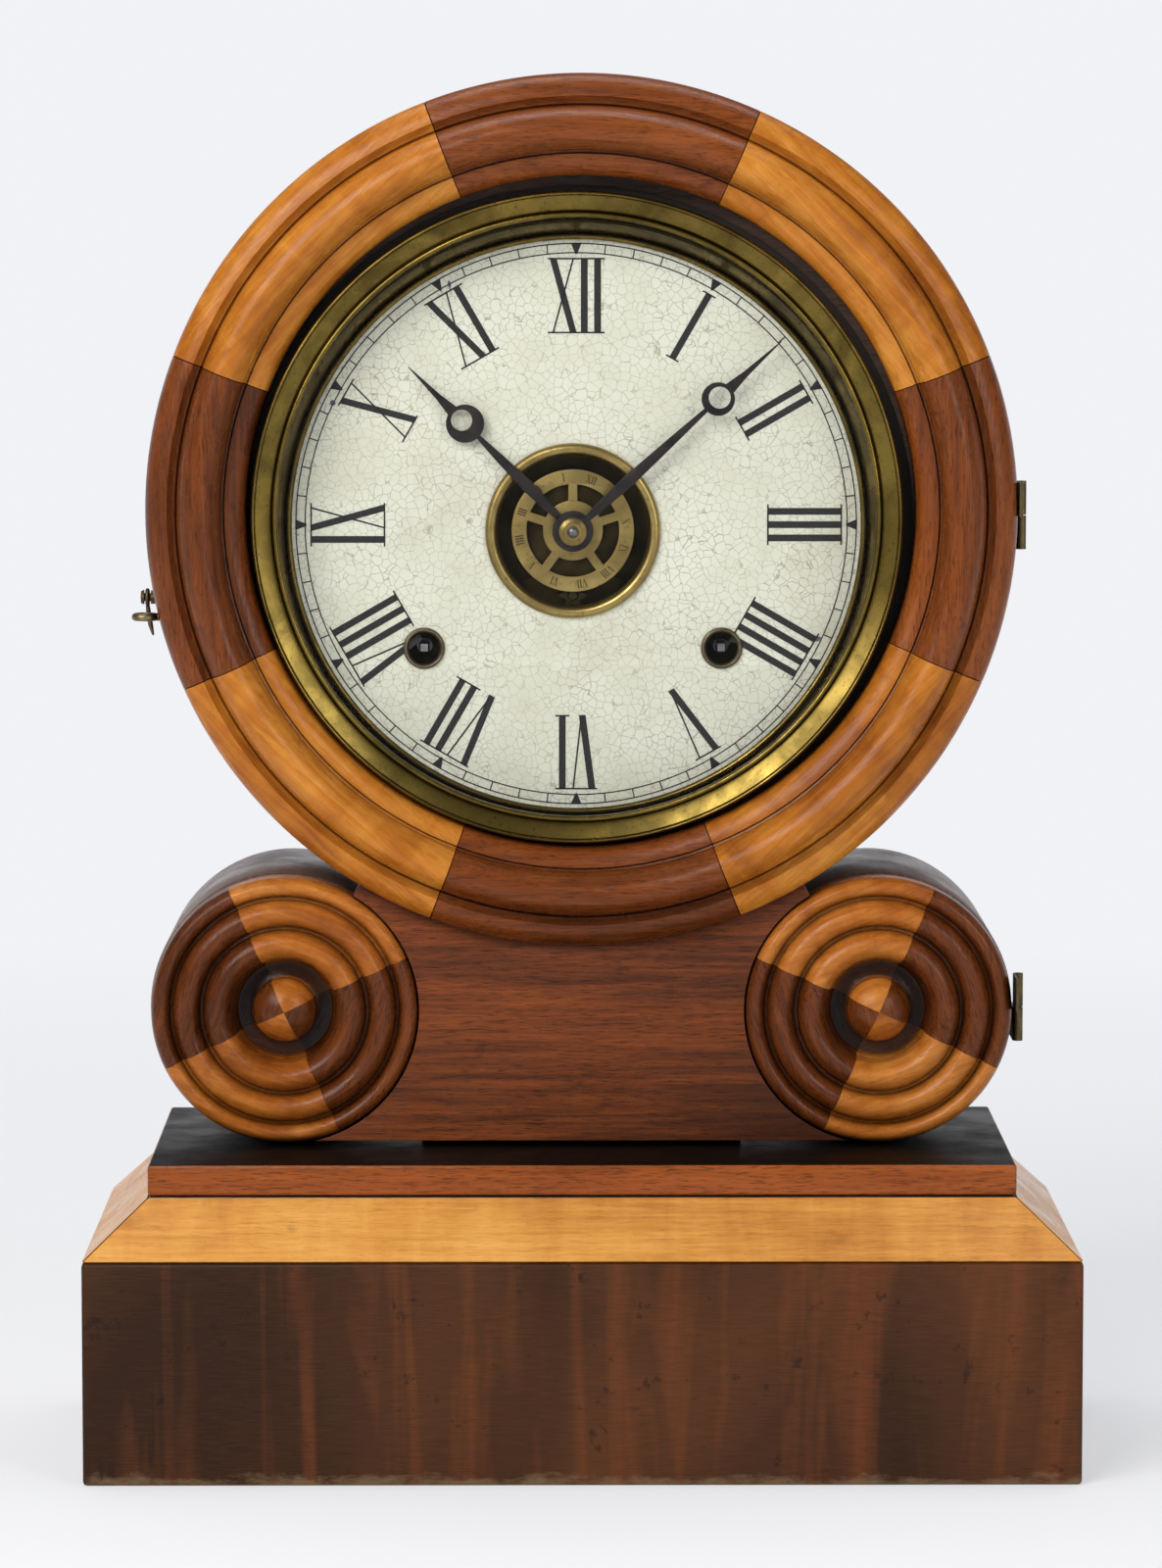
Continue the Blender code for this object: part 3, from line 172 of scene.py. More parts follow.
HOUR_MARK = (0.0003, 0.0016)
HOUR_MARK_DROP = 0.0006
INK_LIFT = 0.00008
THICK = 0.0020
THIN = 0.0005
SERIF = 0.00048
SERIF_SPREAD = 0.0003
LETTER_LEFT = 0.0014
LETTER_RIGHT = 0.0012
V_THICK_FOOT = 0.0002
V_THIN_FOOT = 0.0004
ADVANCE = {"I": 0.0039, "V": 0.0082, "X": 0.0086}
NUMERALS = ("XII", "I", "II", "III", "IIII", "V", "VI", "VII", "VIII", "IX", "X", "XI")

# Hands, with half widths. The shaft's points are shares of the way from the hub to the moon, the
# needle's of the way from the moon to the tip
HAND_ROOT = 0.0010
HAND_SHAFT = ((0.12, 0.0014), (0.32, 0.0018), (0.62, 0.0013))
HAND_NECK = 0.0007
HAND_SPEAR = 0.0017
HAND_NEEDLE = (0.3, 0.0009)
HAND_TIP = 0.00012
MINUTE_DEG = 42.4
MINUTE_HAND = {
    "length": 0.0825,
    "moon_at": 0.0575,
    "moon": 0.0049,
    "hole": 0.0032,
    "lean": 0.0006,
    "bore": 0.0017,
    "hub": 0.0058,
}
HOUR_DEG = 135.0
HOUR_HAND = {
    "length": 0.0680,
    "moon_at": 0.0446,
    "moon": 0.0056,
    "hole": 0.0031,
    "lean": 0.0014,
    "bore": 0.0030,
    "hub": 0.0060,
}
COLLET = [(0.0014, 0), (0.0040, 0), (0.0041, 0.0004), (0.0037, 0.0008)]
COLLET += [(0.0030, 0.0010), (0.0026, 0.0014), (0.0014, 0.0014)]
TIP_RADIUS = 0.0017
TIP_FOOT = 0.0003
TIP_RISE = 0.0016
TIP_SINK = 0.0004

# Alarm disc
ALARM_RADIUS = 0.018
ALARM_RIM = 0.0136
ALARM_HUB = 0.0088
ALARM_BORE = 0.0029
ALARM_SPOKES = 5
ALARM_SPOKE_HALF = 0.0013
ALARM_WINDOW_DEG = 54
ALARM_TURN_DEG = 20
ALARM_MARK_INNER = 0.0146
ALARM_MARK_OUTER = 0.0170
ALARM_MARK_SIZE = 0.19
ALARM_INK_LIFT = 0.00003

# Latch. The tail's points are shares of the hook's length, with their lean towards the case
EYE_WIRE = 0.00115
EYE_STEM = 0.0012
HOOK_WIRE = 0.0006
HOOK_TAIL = ((0.17, 0.0), (0.45, 0.0003), (0.75, 0.0009), (1.0, 0.0016))
HOOK_THICKNESS = (0.9, 1.3, 1.2, 0.5)
WIRE_SIDES = 12

# The paper sweep: near the clock it shows shadows, further off it is an even pale ground
BACKGROUND = (0.880, 0.888, 0.920, 1.0)
NEAR_FLOOR = 0.35
FAR_FLOOR = 1.20
NEAR_GLOW = 0.50
SWEEP_REACH = 12.0
SWEEP_START = 3.4
SWEEP_BEND = 0.9
SWEEP_RISE = 1.6

# Light. Each lamp has a name, a place, a target, a size, its watts and a tint
SKY = (0.93, 0.95, 1.0, 1)
SKY_STRENGTH = 0.20
WARM = (1.0, 0.98, 0.95)
WHITE = (1.0, 1.0, 1.0)
LIT_MIDDLE = (0.0, 0.0, 0.22)
LAMPS = (
    ("key", (-0.85, -1.30, 1.15), LIT_MIDDLE, (1.2, 0.9), 28.0, WARM),
    ("fill", (1.05, -1.35, 0.75), LIT_MIDDLE, (0.8, 0.9), 8.5, WHITE),
    ("top", (0.0, 0.4, 2.1), (0.0, 0.9, 0.0), (1.8, 1.0), 23.0, WHITE),
)

# Linear colours. Wood: deep, middle and pale
DARK_TONES = ((0.064, 0.0152, 0.0034), (0.172, 0.0425, 0.0080), (0.280, 0.077, 0.015))
DARK_TURNED_TONES = ((0.046, 0.0110, 0.0026), (0.125, 0.0310, 0.0062), (0.205, 0.056, 0.011))
LIGHT_TONES = ((0.25, 0.064, 0.0062), (0.42, 0.138, 0.0130), (0.58, 0.238, 0.036))
LIGHT_TURNED_TONES = ((0.20, 0.050, 0.0070), (0.36, 0.108, 0.0140), (0.52, 0.195, 0.034))
BEVEL_TONES = ((0.42, 0.155, 0.022), (0.60, 0.262, 0.046), (0.71, 0.36, 0.082))
MAHOGANY_TONES = ((0.026, 0.0066, 0.0022), (0.082, 0.0205, 0.0050), (0.225, 0.053, 0.0105))
STEP_TONES = ((0.130, 0.030, 0.0050), (0.265, 0.064, 0.0100), (0.37, 0.100, 0.020))
EBONISED_TONES = ((0.003, 0.002, 0.002), (0.005, 0.0036, 0.0026), (0.010, 0.007, 0.005))
CASE_WOOD_TONES = ((0.060, 0.026, 0.015), (0.125, 0.062, 0.040), (0.200, 0.110, 0.075))
BACK_WOOD_TONES = ((0.085, 0.036, 0.014), (0.150, 0.068, 0.028), (0.220, 0.108, 0.048))
VENEER_TONES = ((0.026, 0.0108, 0.0048), (0.056, 0.0210, 0.0078), (0.092, 0.0320, 0.0110))
VENEER_FLAME = (0.200, 0.054, 0.0160)
VENEER_WORN = (0.19, 0.125, 0.065)
VENEER_SPOT = (0.012, 0.007, 0.006)

# Metal: polished, tarnished, and a dark tone for dirt and painted shade
SASH_BRASS_TONES = ((0.205, 0.142, 0.033), (0.095, 0.067, 0.017), (0.020, 0.014, 0.006))
DIAL_BRASS_TONES = ((0.50, 0.37, 0.13), (0.28, 0.20, 0.07), (0.035, 0.028, 0.014))
# A darker copy of the brass: painted shade for the movement inside the case
SHADED_BRASS_TONES = ((0.060, 0.045, 0.018), (0.030, 0.023, 0.010), (0.008, 0.006, 0.004))
DARK_BRASS_TONES = ((0.15, 0.115, 0.055), (0.075, 0.058, 0.032), (0.020, 0.016, 0.011))
HEM_BRASS_TONES = ((0.22, 0.18, 0.105), (0.13, 0.105, 0.06), (0.03, 0.025, 0.015))
LATCH_BRASS_TONES = ((0.26, 0.205, 0.115), (0.14, 0.11, 0.06), (0.03, 0.024, 0.014))
# The winding arbors' steel is a darker copy of the steel: painted shade for arbors deep in their holes
ARBOR_STEEL_TONES = ((0.34, 0.34, 0.35), (0.14, 0.14, 0.15), (0.02, 0.02, 0.02))
STEEL_TONES = ((0.48, 0.48, 0.49), (0.20, 0.20, 0.21), (0.03, 0.03, 0.03))
HAND_TONES = ((0.008, 0.006, 0.006), (0.030, 0.020, 0.018))

# Paint, glass and paper
PAINT_TONES = ((0.71, 0.725, 0.58), (0.785, 0.80, 0.675), (0.81, 0.825, 0.715))
PAINT_STAIN = (0.50, 0.45, 0.30)
PAINT_CRACK = (0.30, 0.27, 0.18)
PAINT_CHIP = (0.11, 0.115, 0.13)
# Near-black of the dial's rim beyond the sight edge: painted shade
DIAL_RIM_SHADE = (0.020, 0.016, 0.012)
INK_TONES = ((0.010, 0.009, 0.009), (0.16, 0.155, 0.14))
GLASS_TINT = (0.01, 0.012, 0.012, 1)
GLASS_ALPHA = 0.06
PAPER_TONES = ((0.86, 0.865, 0.88), (0.88, 0.885, 0.90))

SIDES = ((-1, "left"), (1, "right"))
FACING = Matrix(((1, 0, 0, 0), (0, 0, -1, 0), (0, 1, 0, 0), (0, 0, 0, 1)))


# Shader building blocks
class Graph:
    """A material's node tree, with one short call per node."""

    def __init__(self, name):
        self.material = bpy.data.materials.new(name)
        self.material.use_nodes = True
        self.tree = self.material.node_tree
        self.shader = self.tree.nodes["Principled BSDF"]

    def plug(self, socket, value):
        if isinstance(value, bpy.types.NodeSocket):
            self.tree.links.new(value, socket)
        else:
            socket.default_value = value

    def node(self, kind, inputs=(), **settings):
        made = self.tree.nodes.new("ShaderNode" + kind)
        for name, value in settings.items():
            setattr(made, name, value)
        for key, value in dict(inputs).items():
            self.plug(made.inputs[key], value)
        return made

    def surface(self, **values):
        for name, value in values.items():
            self.plug(self.shader.inputs[name.replace("_", " ")], value)
        return self.material

    def place(self, stretch=(1, 1, 1), own=True):
        """The piece's own coordinates, stretched, and shifted by a different amount for each piece."""
        coordinates = self.node("TexCoord").outputs["Object"]
        if own:
            shift = self.node("ObjectInfo").outputs["Random"]
            coordinates = self.node("VectorMath", {0: coordinates, 1: self.math("MULTIPLY", shift, 3.0)})
            coordinates = coordinates.outputs[0]
        return self.node("Mapping", {"Vector": coordinates, "Scale": stretch}).outputs[0]

    def noise(self, where, scale, detail, roughness, distortion=0.0):
        inputs = {
            "Vector": where,
            "Scale": scale,
            "Detail": detail,
            "Roughness": roughness,
            "Distortion": distortion,
        }
        return self.node("TexNoise", inputs).outputs["Fac"]

    def math(self, operation, first, second):
        return self.node("Math", {0: first, 1: second}, operation=operation).outputs[0]

    def length(self, where):
        return self.node("VectorMath", {0: where}, operation="LENGTH").outputs["Value"]

    def span(self, value, low, high, to_low=0.0, to_high=1.0):
        """Maps low to high onto another span, and holds the ends."""
        inputs = {"Value": value, "From Min": low, "From Max": high, "To Min": to_low, "To Max": to_high}
        return self.node("MapRange", inputs).outputs[0]

    def ramp(self, value, *stops):
        made = self.node("ValToRGB", {"Fac": value})
        band = made.color_ramp
        while len(band.elements) < len(stops):
            band.elements.new(0.5)
        for element, (at, colour) in zip(band.elements, stops):
            element.position = at
            element.color = (*colour, 1)
        return made.outputs["Color"]

    def mix(self, share, under, over):
        made = self.node("Mix", data_type="RGBA")
        self.plug(made.inputs[0], share)
        for socket, colour in ((made.inputs[6], under), (made.inputs[7], over)):
            self.plug(socket, colour if isinstance(colour, bpy.types.NodeSocket) else (*colour, 1))
        return made.outputs[2]

    def bump(self, height, strength, distance):
        made = self.node("Bump", {"Height": height, "Strength": strength, "Distance": distance})
        return made.outputs[0]

    def crevice(self, reach):
        """Near 1 in the open and near 0 in a groove."""
        return self.node("AmbientOcclusion", {"Distance": reach}, samples=6).outputs["AO"]


# Materials. Grain runs along each piece's own X axis
def wood(name, deep, middle, pale, pore, figure, ripple=0.0, gloss=0.27, shine=0.20, pit=()):
    """Shellacked hardwood: figure, fibres, pores, stains, and dirt with painted shade in grooves and in a turned
    pit.
    """
    g = Graph(name)
    broad = g.noise(g.place((0.35, 1, 1)), figure, 3, 0.5, 0.8)
    streak = g.noise(g.place((0.05, 1, 1)), 520, 4, 0.65, 0.3)
    fibre = g.noise(g.place((0.07, 1, 1)), 2600, 3, 0.6)
    tone = g.math("ADD", g.math("MULTIPLY", broad, 0.60), g.math("MULTIPLY", streak, 0.40))
    if ripple:
        curl = g.noise(g.place((1, 0.18, 0.18)), 95, 3, 0.55, 0.6)
        tone = g.math("ADD", tone, g.math("MULTIPLY", g.math("SUBTRACT", curl, 0.5), ripple))
    colour = g.ramp(tone, (0.34, deep), (0.50, middle), (0.66, pale))
    pores = g.span(g.noise(g.place((0.08, 1, 1)), 2500, 2, 0.5), 0.54, 0.66)
    colour = g.mix(g.math("MULTIPLY", pores, pore), colour, [c * 0.30 for c in deep])
    stains = g.span(g.noise(g.place((0.6, 1, 1)), 95, 5, 0.7, 0.6), 0.60, 0.74, 0.0, 0.50)
    colour = g.mix(stains, colour, [c * 0.45 for c in deep])
    # Grooves and corners darkened by ambient occlusion: dirt and painted shade
    dirt_and_painted_shade = g.span(g.crevice(0.005), 0.18, 0.78, 0.80, 0.0)
    colour = g.mix(dirt_and_painted_shade, colour, [c * 0.25 for c in deep])
    # A dark ring in the rosettes' deep hollow: dirt and painted shade
    if pit:
        reach = g.length(g.place((1, 1, 0), own=False))
        inside = g.span(reach, pit[0] - 0.0004, pit[0] + 0.0004)
        inside = g.math("MULTIPLY", inside, g.span(reach, pit[1] - 0.0022, pit[1], 0.93, 0.0))
        colour = g.mix(inside, colour, [c * 0.10 for c in deep])
    worn = g.noise(g.place(), 60, 3, 0.6)
    rough = g.span(worn, 0.35, 0.7, gloss - 0.07, gloss + 0.10)
    relief = g.math("ADD", g.math("MULTIPLY", fibre, 0.6), g.math("MULTIPLY", pores, -0.8))
    normal = g.bump(relief, 0.22, 0.0002)
    return g.surface(Base_Color=colour, Roughness=rough, Normal=normal, Specular_IOR_Level=shine)


def veneer(name):
    """The plinth's figured veneer: a few soft red flames on dark brown, level grain, a worn pale foot."""
    g = Graph(name)
    broad = g.noise(g.place((1, 1, 0.45), own=False), 13, 3, 0.5, 0.6)
    grain = g.noise(g.place((0.06, 1, 1), own=False), 2300, 4, 0.65)
    tone = g.math("ADD", broad, g.math("MULTIPLY", g.math("SUBTRACT", grain, 0.5), 0.40))
    colour = g.ramp(tone, *zip((0.30, 0.52, 0.72), VENEER_TONES))
    wave = g.noise(g.place((1, 1, 0.10), own=False), 70, 3, 0.5, 0.8)
    flame = g.math("MULTIPLY", g.span(wave, 0.47, 0.76, 0.0, 0.70), g.span(grain, 0.30, 0.60, 0.55, 1.0))
    colour = g.mix(flame, colour, VENEER_FLAME)
    height = g.node("SeparateXYZ", {0: g.place(own=False)}).outputs["Z"]
    ragged = g.noise(g.place((0.4, 1, 1), own=False), 220, 4, 0.7)
    foot = g.math("ADD", height, g.math("MULTIPLY", ragged, -0.012))
    colour = g.mix(g.span(foot, -0.0060, -0.0030, 0.70, 0.0), colour, VENEER_WORN)
    spots = g.span(g.noise(g.place(own=False), 140, 3, 0.7), 0.63, 0.70)
    colour = g.mix(g.math("MULTIPLY", spots, 0.6), colour, VENEER_SPOT)
    rough = g.span(g.noise(g.place(own=False), 45, 3, 0.6), 0.35, 0.7, 0.38, 0.55)
    normal = g.bump(grain, 0.20, 0.0002)
    return g.surface(Base_Color=colour, Roughness=rough, Normal=normal, Specular_IOR_Level=0.12)


def old_metal(name, bright, dull, dark, gloss, blotch=55.0):
    """Aged metal: a polished tone, brown tarnish in patches, and dirt with painted shade in the grooves."""
    g = Graph(name)
    patches = g.noise(g.place(), blotch, 5, 0.62, 0.4)
    colour = g.ramp(patches, (0.38, dull), (0.62, bright))
    specks = g.span(g.noise(g.place(), 900, 3, 0.6), 0.60, 0.70)
    colour = g.mix(g.math("MULTIPLY", specks, 0.55), colour, dark)
    # Grooves darkened by ambient occlusion: dirt and painted shade
    dirt_and_painted_shade = g.span(g.crevice(0.003), 0.30, 0.85, 0.80, 0.0)
    colour = g.mix(dirt_and_painted_shade, colour, dark)
    rough = g.span(patches, 0.35, 0.65, gloss + 0.16, gloss)
    scratch = g.noise(g.place((1, 1, 0.2)), 700, 3, 0.6)
    return g.surface(Base_Color=colour, Metallic=1.0, Roughness=rough, Normal=g.bump(scratch, 0.10, 0.0001))


def dial_paint(name):
    """Off-white paint with a fine net of cracks, stains and a few lost chips, and a near-black rim beyond the
    sight edge as painted shade.
    """
    g = Graph(name)
    where = g.place(own=False)
    warp = g.node("TexNoise", {"Vector": where, "Scale": 260.0, "Detail": 2.0}).outputs["Color"]
    shift = g.node("VectorMath", {0: warp, "Scale": 0.0020}, operation="SCALE").outputs[0]
    bent = g.node("VectorMath", {0: where, 1: shift}).outputs[0]
    cells = g.node("TexVoronoi", {"Vector": bent, "Scale": 400.0}, feature="DISTANCE_TO_EDGE").outputs[0]
    patch = g.noise(where, 42, 4, 0.6)
    crack = g.span(cells, 0.010, 0.042, 1.0, 0.0)
    crack = g.math("MULTIPLY", crack, g.span(patch, 0.35, 0.65, 0.35, 0.80))
    colour = g.ramp(patch, *zip((0.30, 0.55, 0.75), PAINT_TONES))
    stain = g.span(g.noise(where, 21, 5, 0.65, 0.5), 0.54, 0.72, 0.0, 0.35)
    colour = g.mix(stain, colour, PAINT_STAIN)
    colour = g.mix(crack, colour, PAINT_CRACK)
    chips = g.span(g.noise(where, 118, 2, 0.4), 0.745, 0.755)
    colour = g.mix(chips, colour, PAINT_CHIP)
    # Beyond the sight edge the plate is painted near-black: painted shade in the gap round the sash
    reach = g.length(where)
    colour = g.mix(g.span(reach, DIAL_SHADE_FROM, DIAL_SHADE_FROM + 0.001), colour, DIAL_RIM_SHADE)
    relief = g.math("ADD", g.math("MULTIPLY", crack, -1.0), g.math("MULTIPLY", chips, -1.5))
    rough = g.span(patch, 0.3, 0.7, 0.5, 0.66)
    return g.surface(Base_Color=colour, Roughness=rough, Normal=g.bump(relief, 0.12, 0.0002))


def ink(name):
    """Black paint of the numerals, worn thin in specks."""
    g = Graph(name)
    specks = g.noise(g.place(own=False), 1900, 3, 0.7)
    colour = g.ramp(specks, *zip((0.64, 0.74), INK_TONES))
    return g.surface(Base_Color=colour, Roughness=0.55)


def blued(name):
    """Brown-black steel of the hands."""
    g = Graph(name)
    patches = g.noise(g.place(), 190, 4, 0.6)
    colour = g.ramp(patches, *zip((0.38, 0.68), HAND_TONES))
    return g.surface(Base_Color=colour, Roughness=g.span(patches, 0.3, 0.7, 0.32, 0.5), Metallic=0.35)


def pane(name):
    """Thin clear glass with a faint haze of dust."""
    g = Graph(name)
    dust = g.noise(g.place(), 70, 5, 0.7)
    rough = g.span(dust, 0.4, 0.8, 0.015, 0.06)
    return g.surface(Base_Color=GLASS_TINT, Roughness=rough, Alpha=GLASS_ALPHA)


DARK = wood("dark_wood", *DARK_TONES, pore=0.55, figure=16)
DARK_TURNED = wood("dark_wood_turned", *DARK_TURNED_TONES, pore=0.65, figure=20, pit=ROSETTE_PIT)
LIGHT = wood("light_wood", *LIGHT_TONES, pore=0.16, figure=24, ripple=0.30)
LIGHT_TURNED = wood(
    "light_wood_turned", *LIGHT_TURNED_TONES, pore=0.20, figure=30, ripple=0.30, pit=ROSETTE_PIT
)
BEVEL = wood("bevel_wood", *BEVEL_TONES, pore=0.20, figure=15, ripple=0.30)
MAHOGANY = wood("mahogany", *MAHOGANY_TONES, pore=0.55, figure=12)
STEP = wood("step_wood", *STEP_TONES, pore=0.6, figure=12)
EBONISED = wood("ebonised_wood", *EBONISED_TONES, pore=0.5, figure=12, gloss=0.42, shine=0.06)
CASE_WOOD = wood("case_wood", *CASE_WOOD_TONES, pore=0.6, figure=12, gloss=0.36, shine=0.45)
BACK_WOOD = wood("back_wood", *BACK_WOOD_TONES, pore=0.6, figure=12)
VENEER = veneer("plinth_veneer")
SASH_BRASS = old_metal("sash_brass", *SASH_BRASS_TONES, gloss=0.22)
DIAL_BRASS = old_metal("dial_brass", *DIAL_BRASS_TONES, gloss=0.30)
SHADED_BRASS = old_metal("shaded_brass", *SHADED_BRASS_TONES, gloss=0.42, blotch=120)
DARK_BRASS = old_metal("dark_brass", *DARK_BRASS_TONES, gloss=0.42, blotch=120)
HEM_BRASS = old_metal("hem_brass", *HEM_BRASS_TONES, gloss=0.36, blotch=200)
LATCH_BRASS = old_metal("latch_brass", *LATCH_BRASS_TONES, gloss=0.34, blotch=200)
# Steel dimmed as painted shade for the winding arbors in their holes
ARBOR_STEEL_SHADED = old_metal("arbor_steel_shaded", *ARBOR_STEEL_TONES, gloss=0.22)
STEEL = old_metal("steel", *STEEL_TONES, gloss=0.28)
DIAL_PAINT = dial_paint("dial_paint")
INK = ink("numeral_ink")
HAND = blued("hand_steel")
PANE = pane("pane")


# Mesh building blocks
def show(name, mesh, material, body, nodes=(), place=None):
    """Puts a finished piece in its place, on its body, over the solids that it stands for."""
    piece = bpy.data.objects.new(name, mesh)
    bpy.context.scene.collection.objects.link(piece)
    piece.matrix_world = place or Matrix()
    if not mesh.materials:
        mesh.materials.append(material)
    mesh.shade_smooth()
    mesh.set_sharp_from_angle(angle=radians(SMOOTH_DEG))
    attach(piece, body)
    if nodes:
        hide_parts(*nodes)


def to_mesh(bm, name):
    bmesh.ops.recalc_face_normals(bm, faces=bm.faces)
    mesh = bpy.data.meshes.new(name)
    bm.to_mesh(mesh)
    bm.free()
    return mesh


def lathe(name, profile, steps, start=0.0, end=360.0):
    """A closed (radius, height) outline turned about Z, whole or from start to end in degrees."""
    whole = end - start > 359.9
    bm = bmesh.new()
    corners = [bm.verts.new((r * cos(radians(start)), r * sin(radians(start)), h)) for r, h in profile]
    if whole:
        geom = [bm.edges.new((corners[i - 1], corners[i])) for i in range(len(corners))] + corners
    else:
        geom = [bm.faces.new(corners)]
    turn = radians(end - start)
    bmesh.ops.spin(bm, geom=geom, cent=(0, 0, 0), axis=(0, 0, 1), angle=turn, steps=steps, use_merge=whole)
    bmesh.ops.remove_doubles(bm, verts=bm.verts, dist=MERGE)
    return to_mesh(bm, name)


def arc(radius, steps, centre=(0.0, 0.0), start=0.0, end=360.0):
    """Points round a circle, or along an arc of it with both its ends."""
    spans = steps if end - start == 360 else steps - 1
    angles = [radians(start + (end - start) * i / spans) for i in range(steps)]
    return [(centre[0] + radius * cos(a), centre[1] + radius * sin(a)) for a in angles]


def bead(inner, outer, floor, rise, steps, first=0.0, last=180.0):
    """A rounded moulding from its outer foot to its inner foot, or a part of it in degrees."""
    middle, half = (inner + outer) / 2, (outer - inner) / 2
    angles = [radians(first + (last - first) * i / steps) for i in range(steps + 1)]
    return [(middle + half * cos(a), floor + rise * sin(a)) for a in angles]


def slab(name, loops, low, high, rounding):
    """Flat closed loops, holes among them, as a plate with rounded edges."""
    curve = bpy.data.curves.new(name, "CURVE")
    curve.dimensions = "2D"
    curve.fill_mode = "BOTH"
    curve.extrude = (high - low) / 2 - rounding
    curve.bevel_depth = rounding
    curve.offset = -rounding
    curve.bevel_resolution = 2
    for loop in loops:
        spline = curve.splines.new("POLY")
        spline.points.add(len(loop) - 1)
        for point, (x, y) in zip(spline.points, loop):
            point.co = (x, y, 0, 1)
        spline.use_cyclic_u = True
    guide = bpy.data.objects.new(name + "_curve", curve)
    bpy.context.scene.collection.objects.link(guide)
    bpy.context.view_layer.update()
    flat = bpy.data.meshes.new_from_object(guide.evaluated_get(bpy.context.evaluated_depsgraph_get()))
    bpy.data.objects.remove(guide)
    bm = bmesh.new()
    bm.from_mesh(flat)
    bmesh.ops.remove_doubles(bm, verts=bm.verts, dist=MERGE)
    bmesh.ops.translate(bm, vec=(0, 0, (low + high) / 2), verts=bm.verts)
    return to_mesh(bm, name)


def block(name, low, high, rounding):
    """A board between two corners with softened edges."""
    bm = bmesh.new()
    bmesh.ops.create_cube(bm, size=1)
    bmesh.ops.scale(bm, vec=[b - a for a, b in zip(low, high)], verts=bm.verts)
    bmesh.ops.translate(bm, vec=[(a + b) / 2 for a, b in zip(low, high)], verts=bm.verts)
    bmesh.ops.bevel(bm, geom=bm.edges[:], offset=rounding, segments=3, profile=0.5, affect="EDGES")
    return to_mesh(bm, name)


def facing(x, y, z, turn=0.0):
    """A place whose local Z looks to the front, turned by some degrees."""
    return Matrix.Translation((x, y, z)) @ FACING @ Matrix.Rotation(radians(turn), 4, "Z")


def across(piece_middle):
    """A place whose local X runs from front to back, for grain along Y."""
    return Matrix.Translation(piece_middle) @ Matrix.Rotation(pi / 2, 4, "Z")


def sized(node):
    low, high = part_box(node)
    return low, high, (low + high) / 2


# Plinth
def dress_plinth():
    for name in ("base_front_board", "base_left_board", "base_right_board"):
        low, high, _ = sized(name)
        show(name + "_veneered", block(name, low, high, BOARD_EDGE), VENEER, "case", [name])
    low, high, _ = sized("base_back_board")
    back = block("back", low, high, BACK_EDGE)
    show("base_back_plain", back, BACK_WOOD, "case", ["base_back_board"])
    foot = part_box("base_bevel_moulding")[0].z
    run = HALF_WIDTH - STEP_HALF
    inner_front = FRONT + run
    gap = SEAM / 2
    front = wedge("bevel_front", [(-HALF_WIDTH + gap, FRONT), (HALF_WIDTH - gap, FRONT)],
                  [(-STEP_HALF + gap, inner_front), (STEP_HALF - gap, inner_front)], foot)
    show("bevel_front", front, BEVEL, "case", ["base_bevel_moulding"])
    for side, name in SIDES:
        place = across((side * (STEP_HALF + run / 2), 0, foot))
        lower = [(side * HALF_WIDTH, FRONT + gap), (side * HALF_WIDTH, BACK)]
        upper = [(side * STEP_HALF, inner_front + gap), (side * STEP_HALF, BACK)]
        mesh = wedge("bevel_" + name, lower, upper, foot)
        mesh.transform(place.inverted())
        show("bevel_" + name, mesh, BEVEL, "case", place=place)
    low = (-STEP_HALF + SEAM, inner_front + SEAM, foot)
    high = (STEP_HALF - SEAM, BACK, BEVEL_TOP)
    core = block("bevel_core", low, high, BEVEL_EDGE)
    show("bevel_core", core, CASE_WOOD, "case")
    low, high, _ = sized("base_step_plate")
    mesh = block("step", low, high, STEP_EDGE)
    mesh.materials.append(STEP)
    mesh.materials.append(EBONISED)
    for face in mesh.polygons:
        face.material_index = 1 if face.normal.z > LEVEL else 0
    show("step_board", mesh, STEP, "case", ["base_step_plate"])


def wedge(name, lower, upper, foot):
    """A mitred strip of sloping moulding between its outer lower edge and its inner upper edge."""
    bm = bmesh.new()
    outer = [bm.verts.new((x, y, foot)) for x, y in lower]
    top = [bm.verts.new((x, y, BEVEL_TOP)) for x, y in upper]
    under = [bm.verts.new((x, y, foot)) for x, y in upper]
    for one, other in ((outer, top), (top, under), (under, outer)):
        bm.faces.new((one[0], one[1], other[1], other[0]))
    bm.faces.new((outer[0], top[0], under[0]))
    bm.faces.new((outer[1], under[1], top[1]))
    bmesh.ops.bevel(bm, geom=bm.edges[:], offset=BEVEL_EDGE, segments=2, affect="EDGES")
    return to_mesh(bm, name)


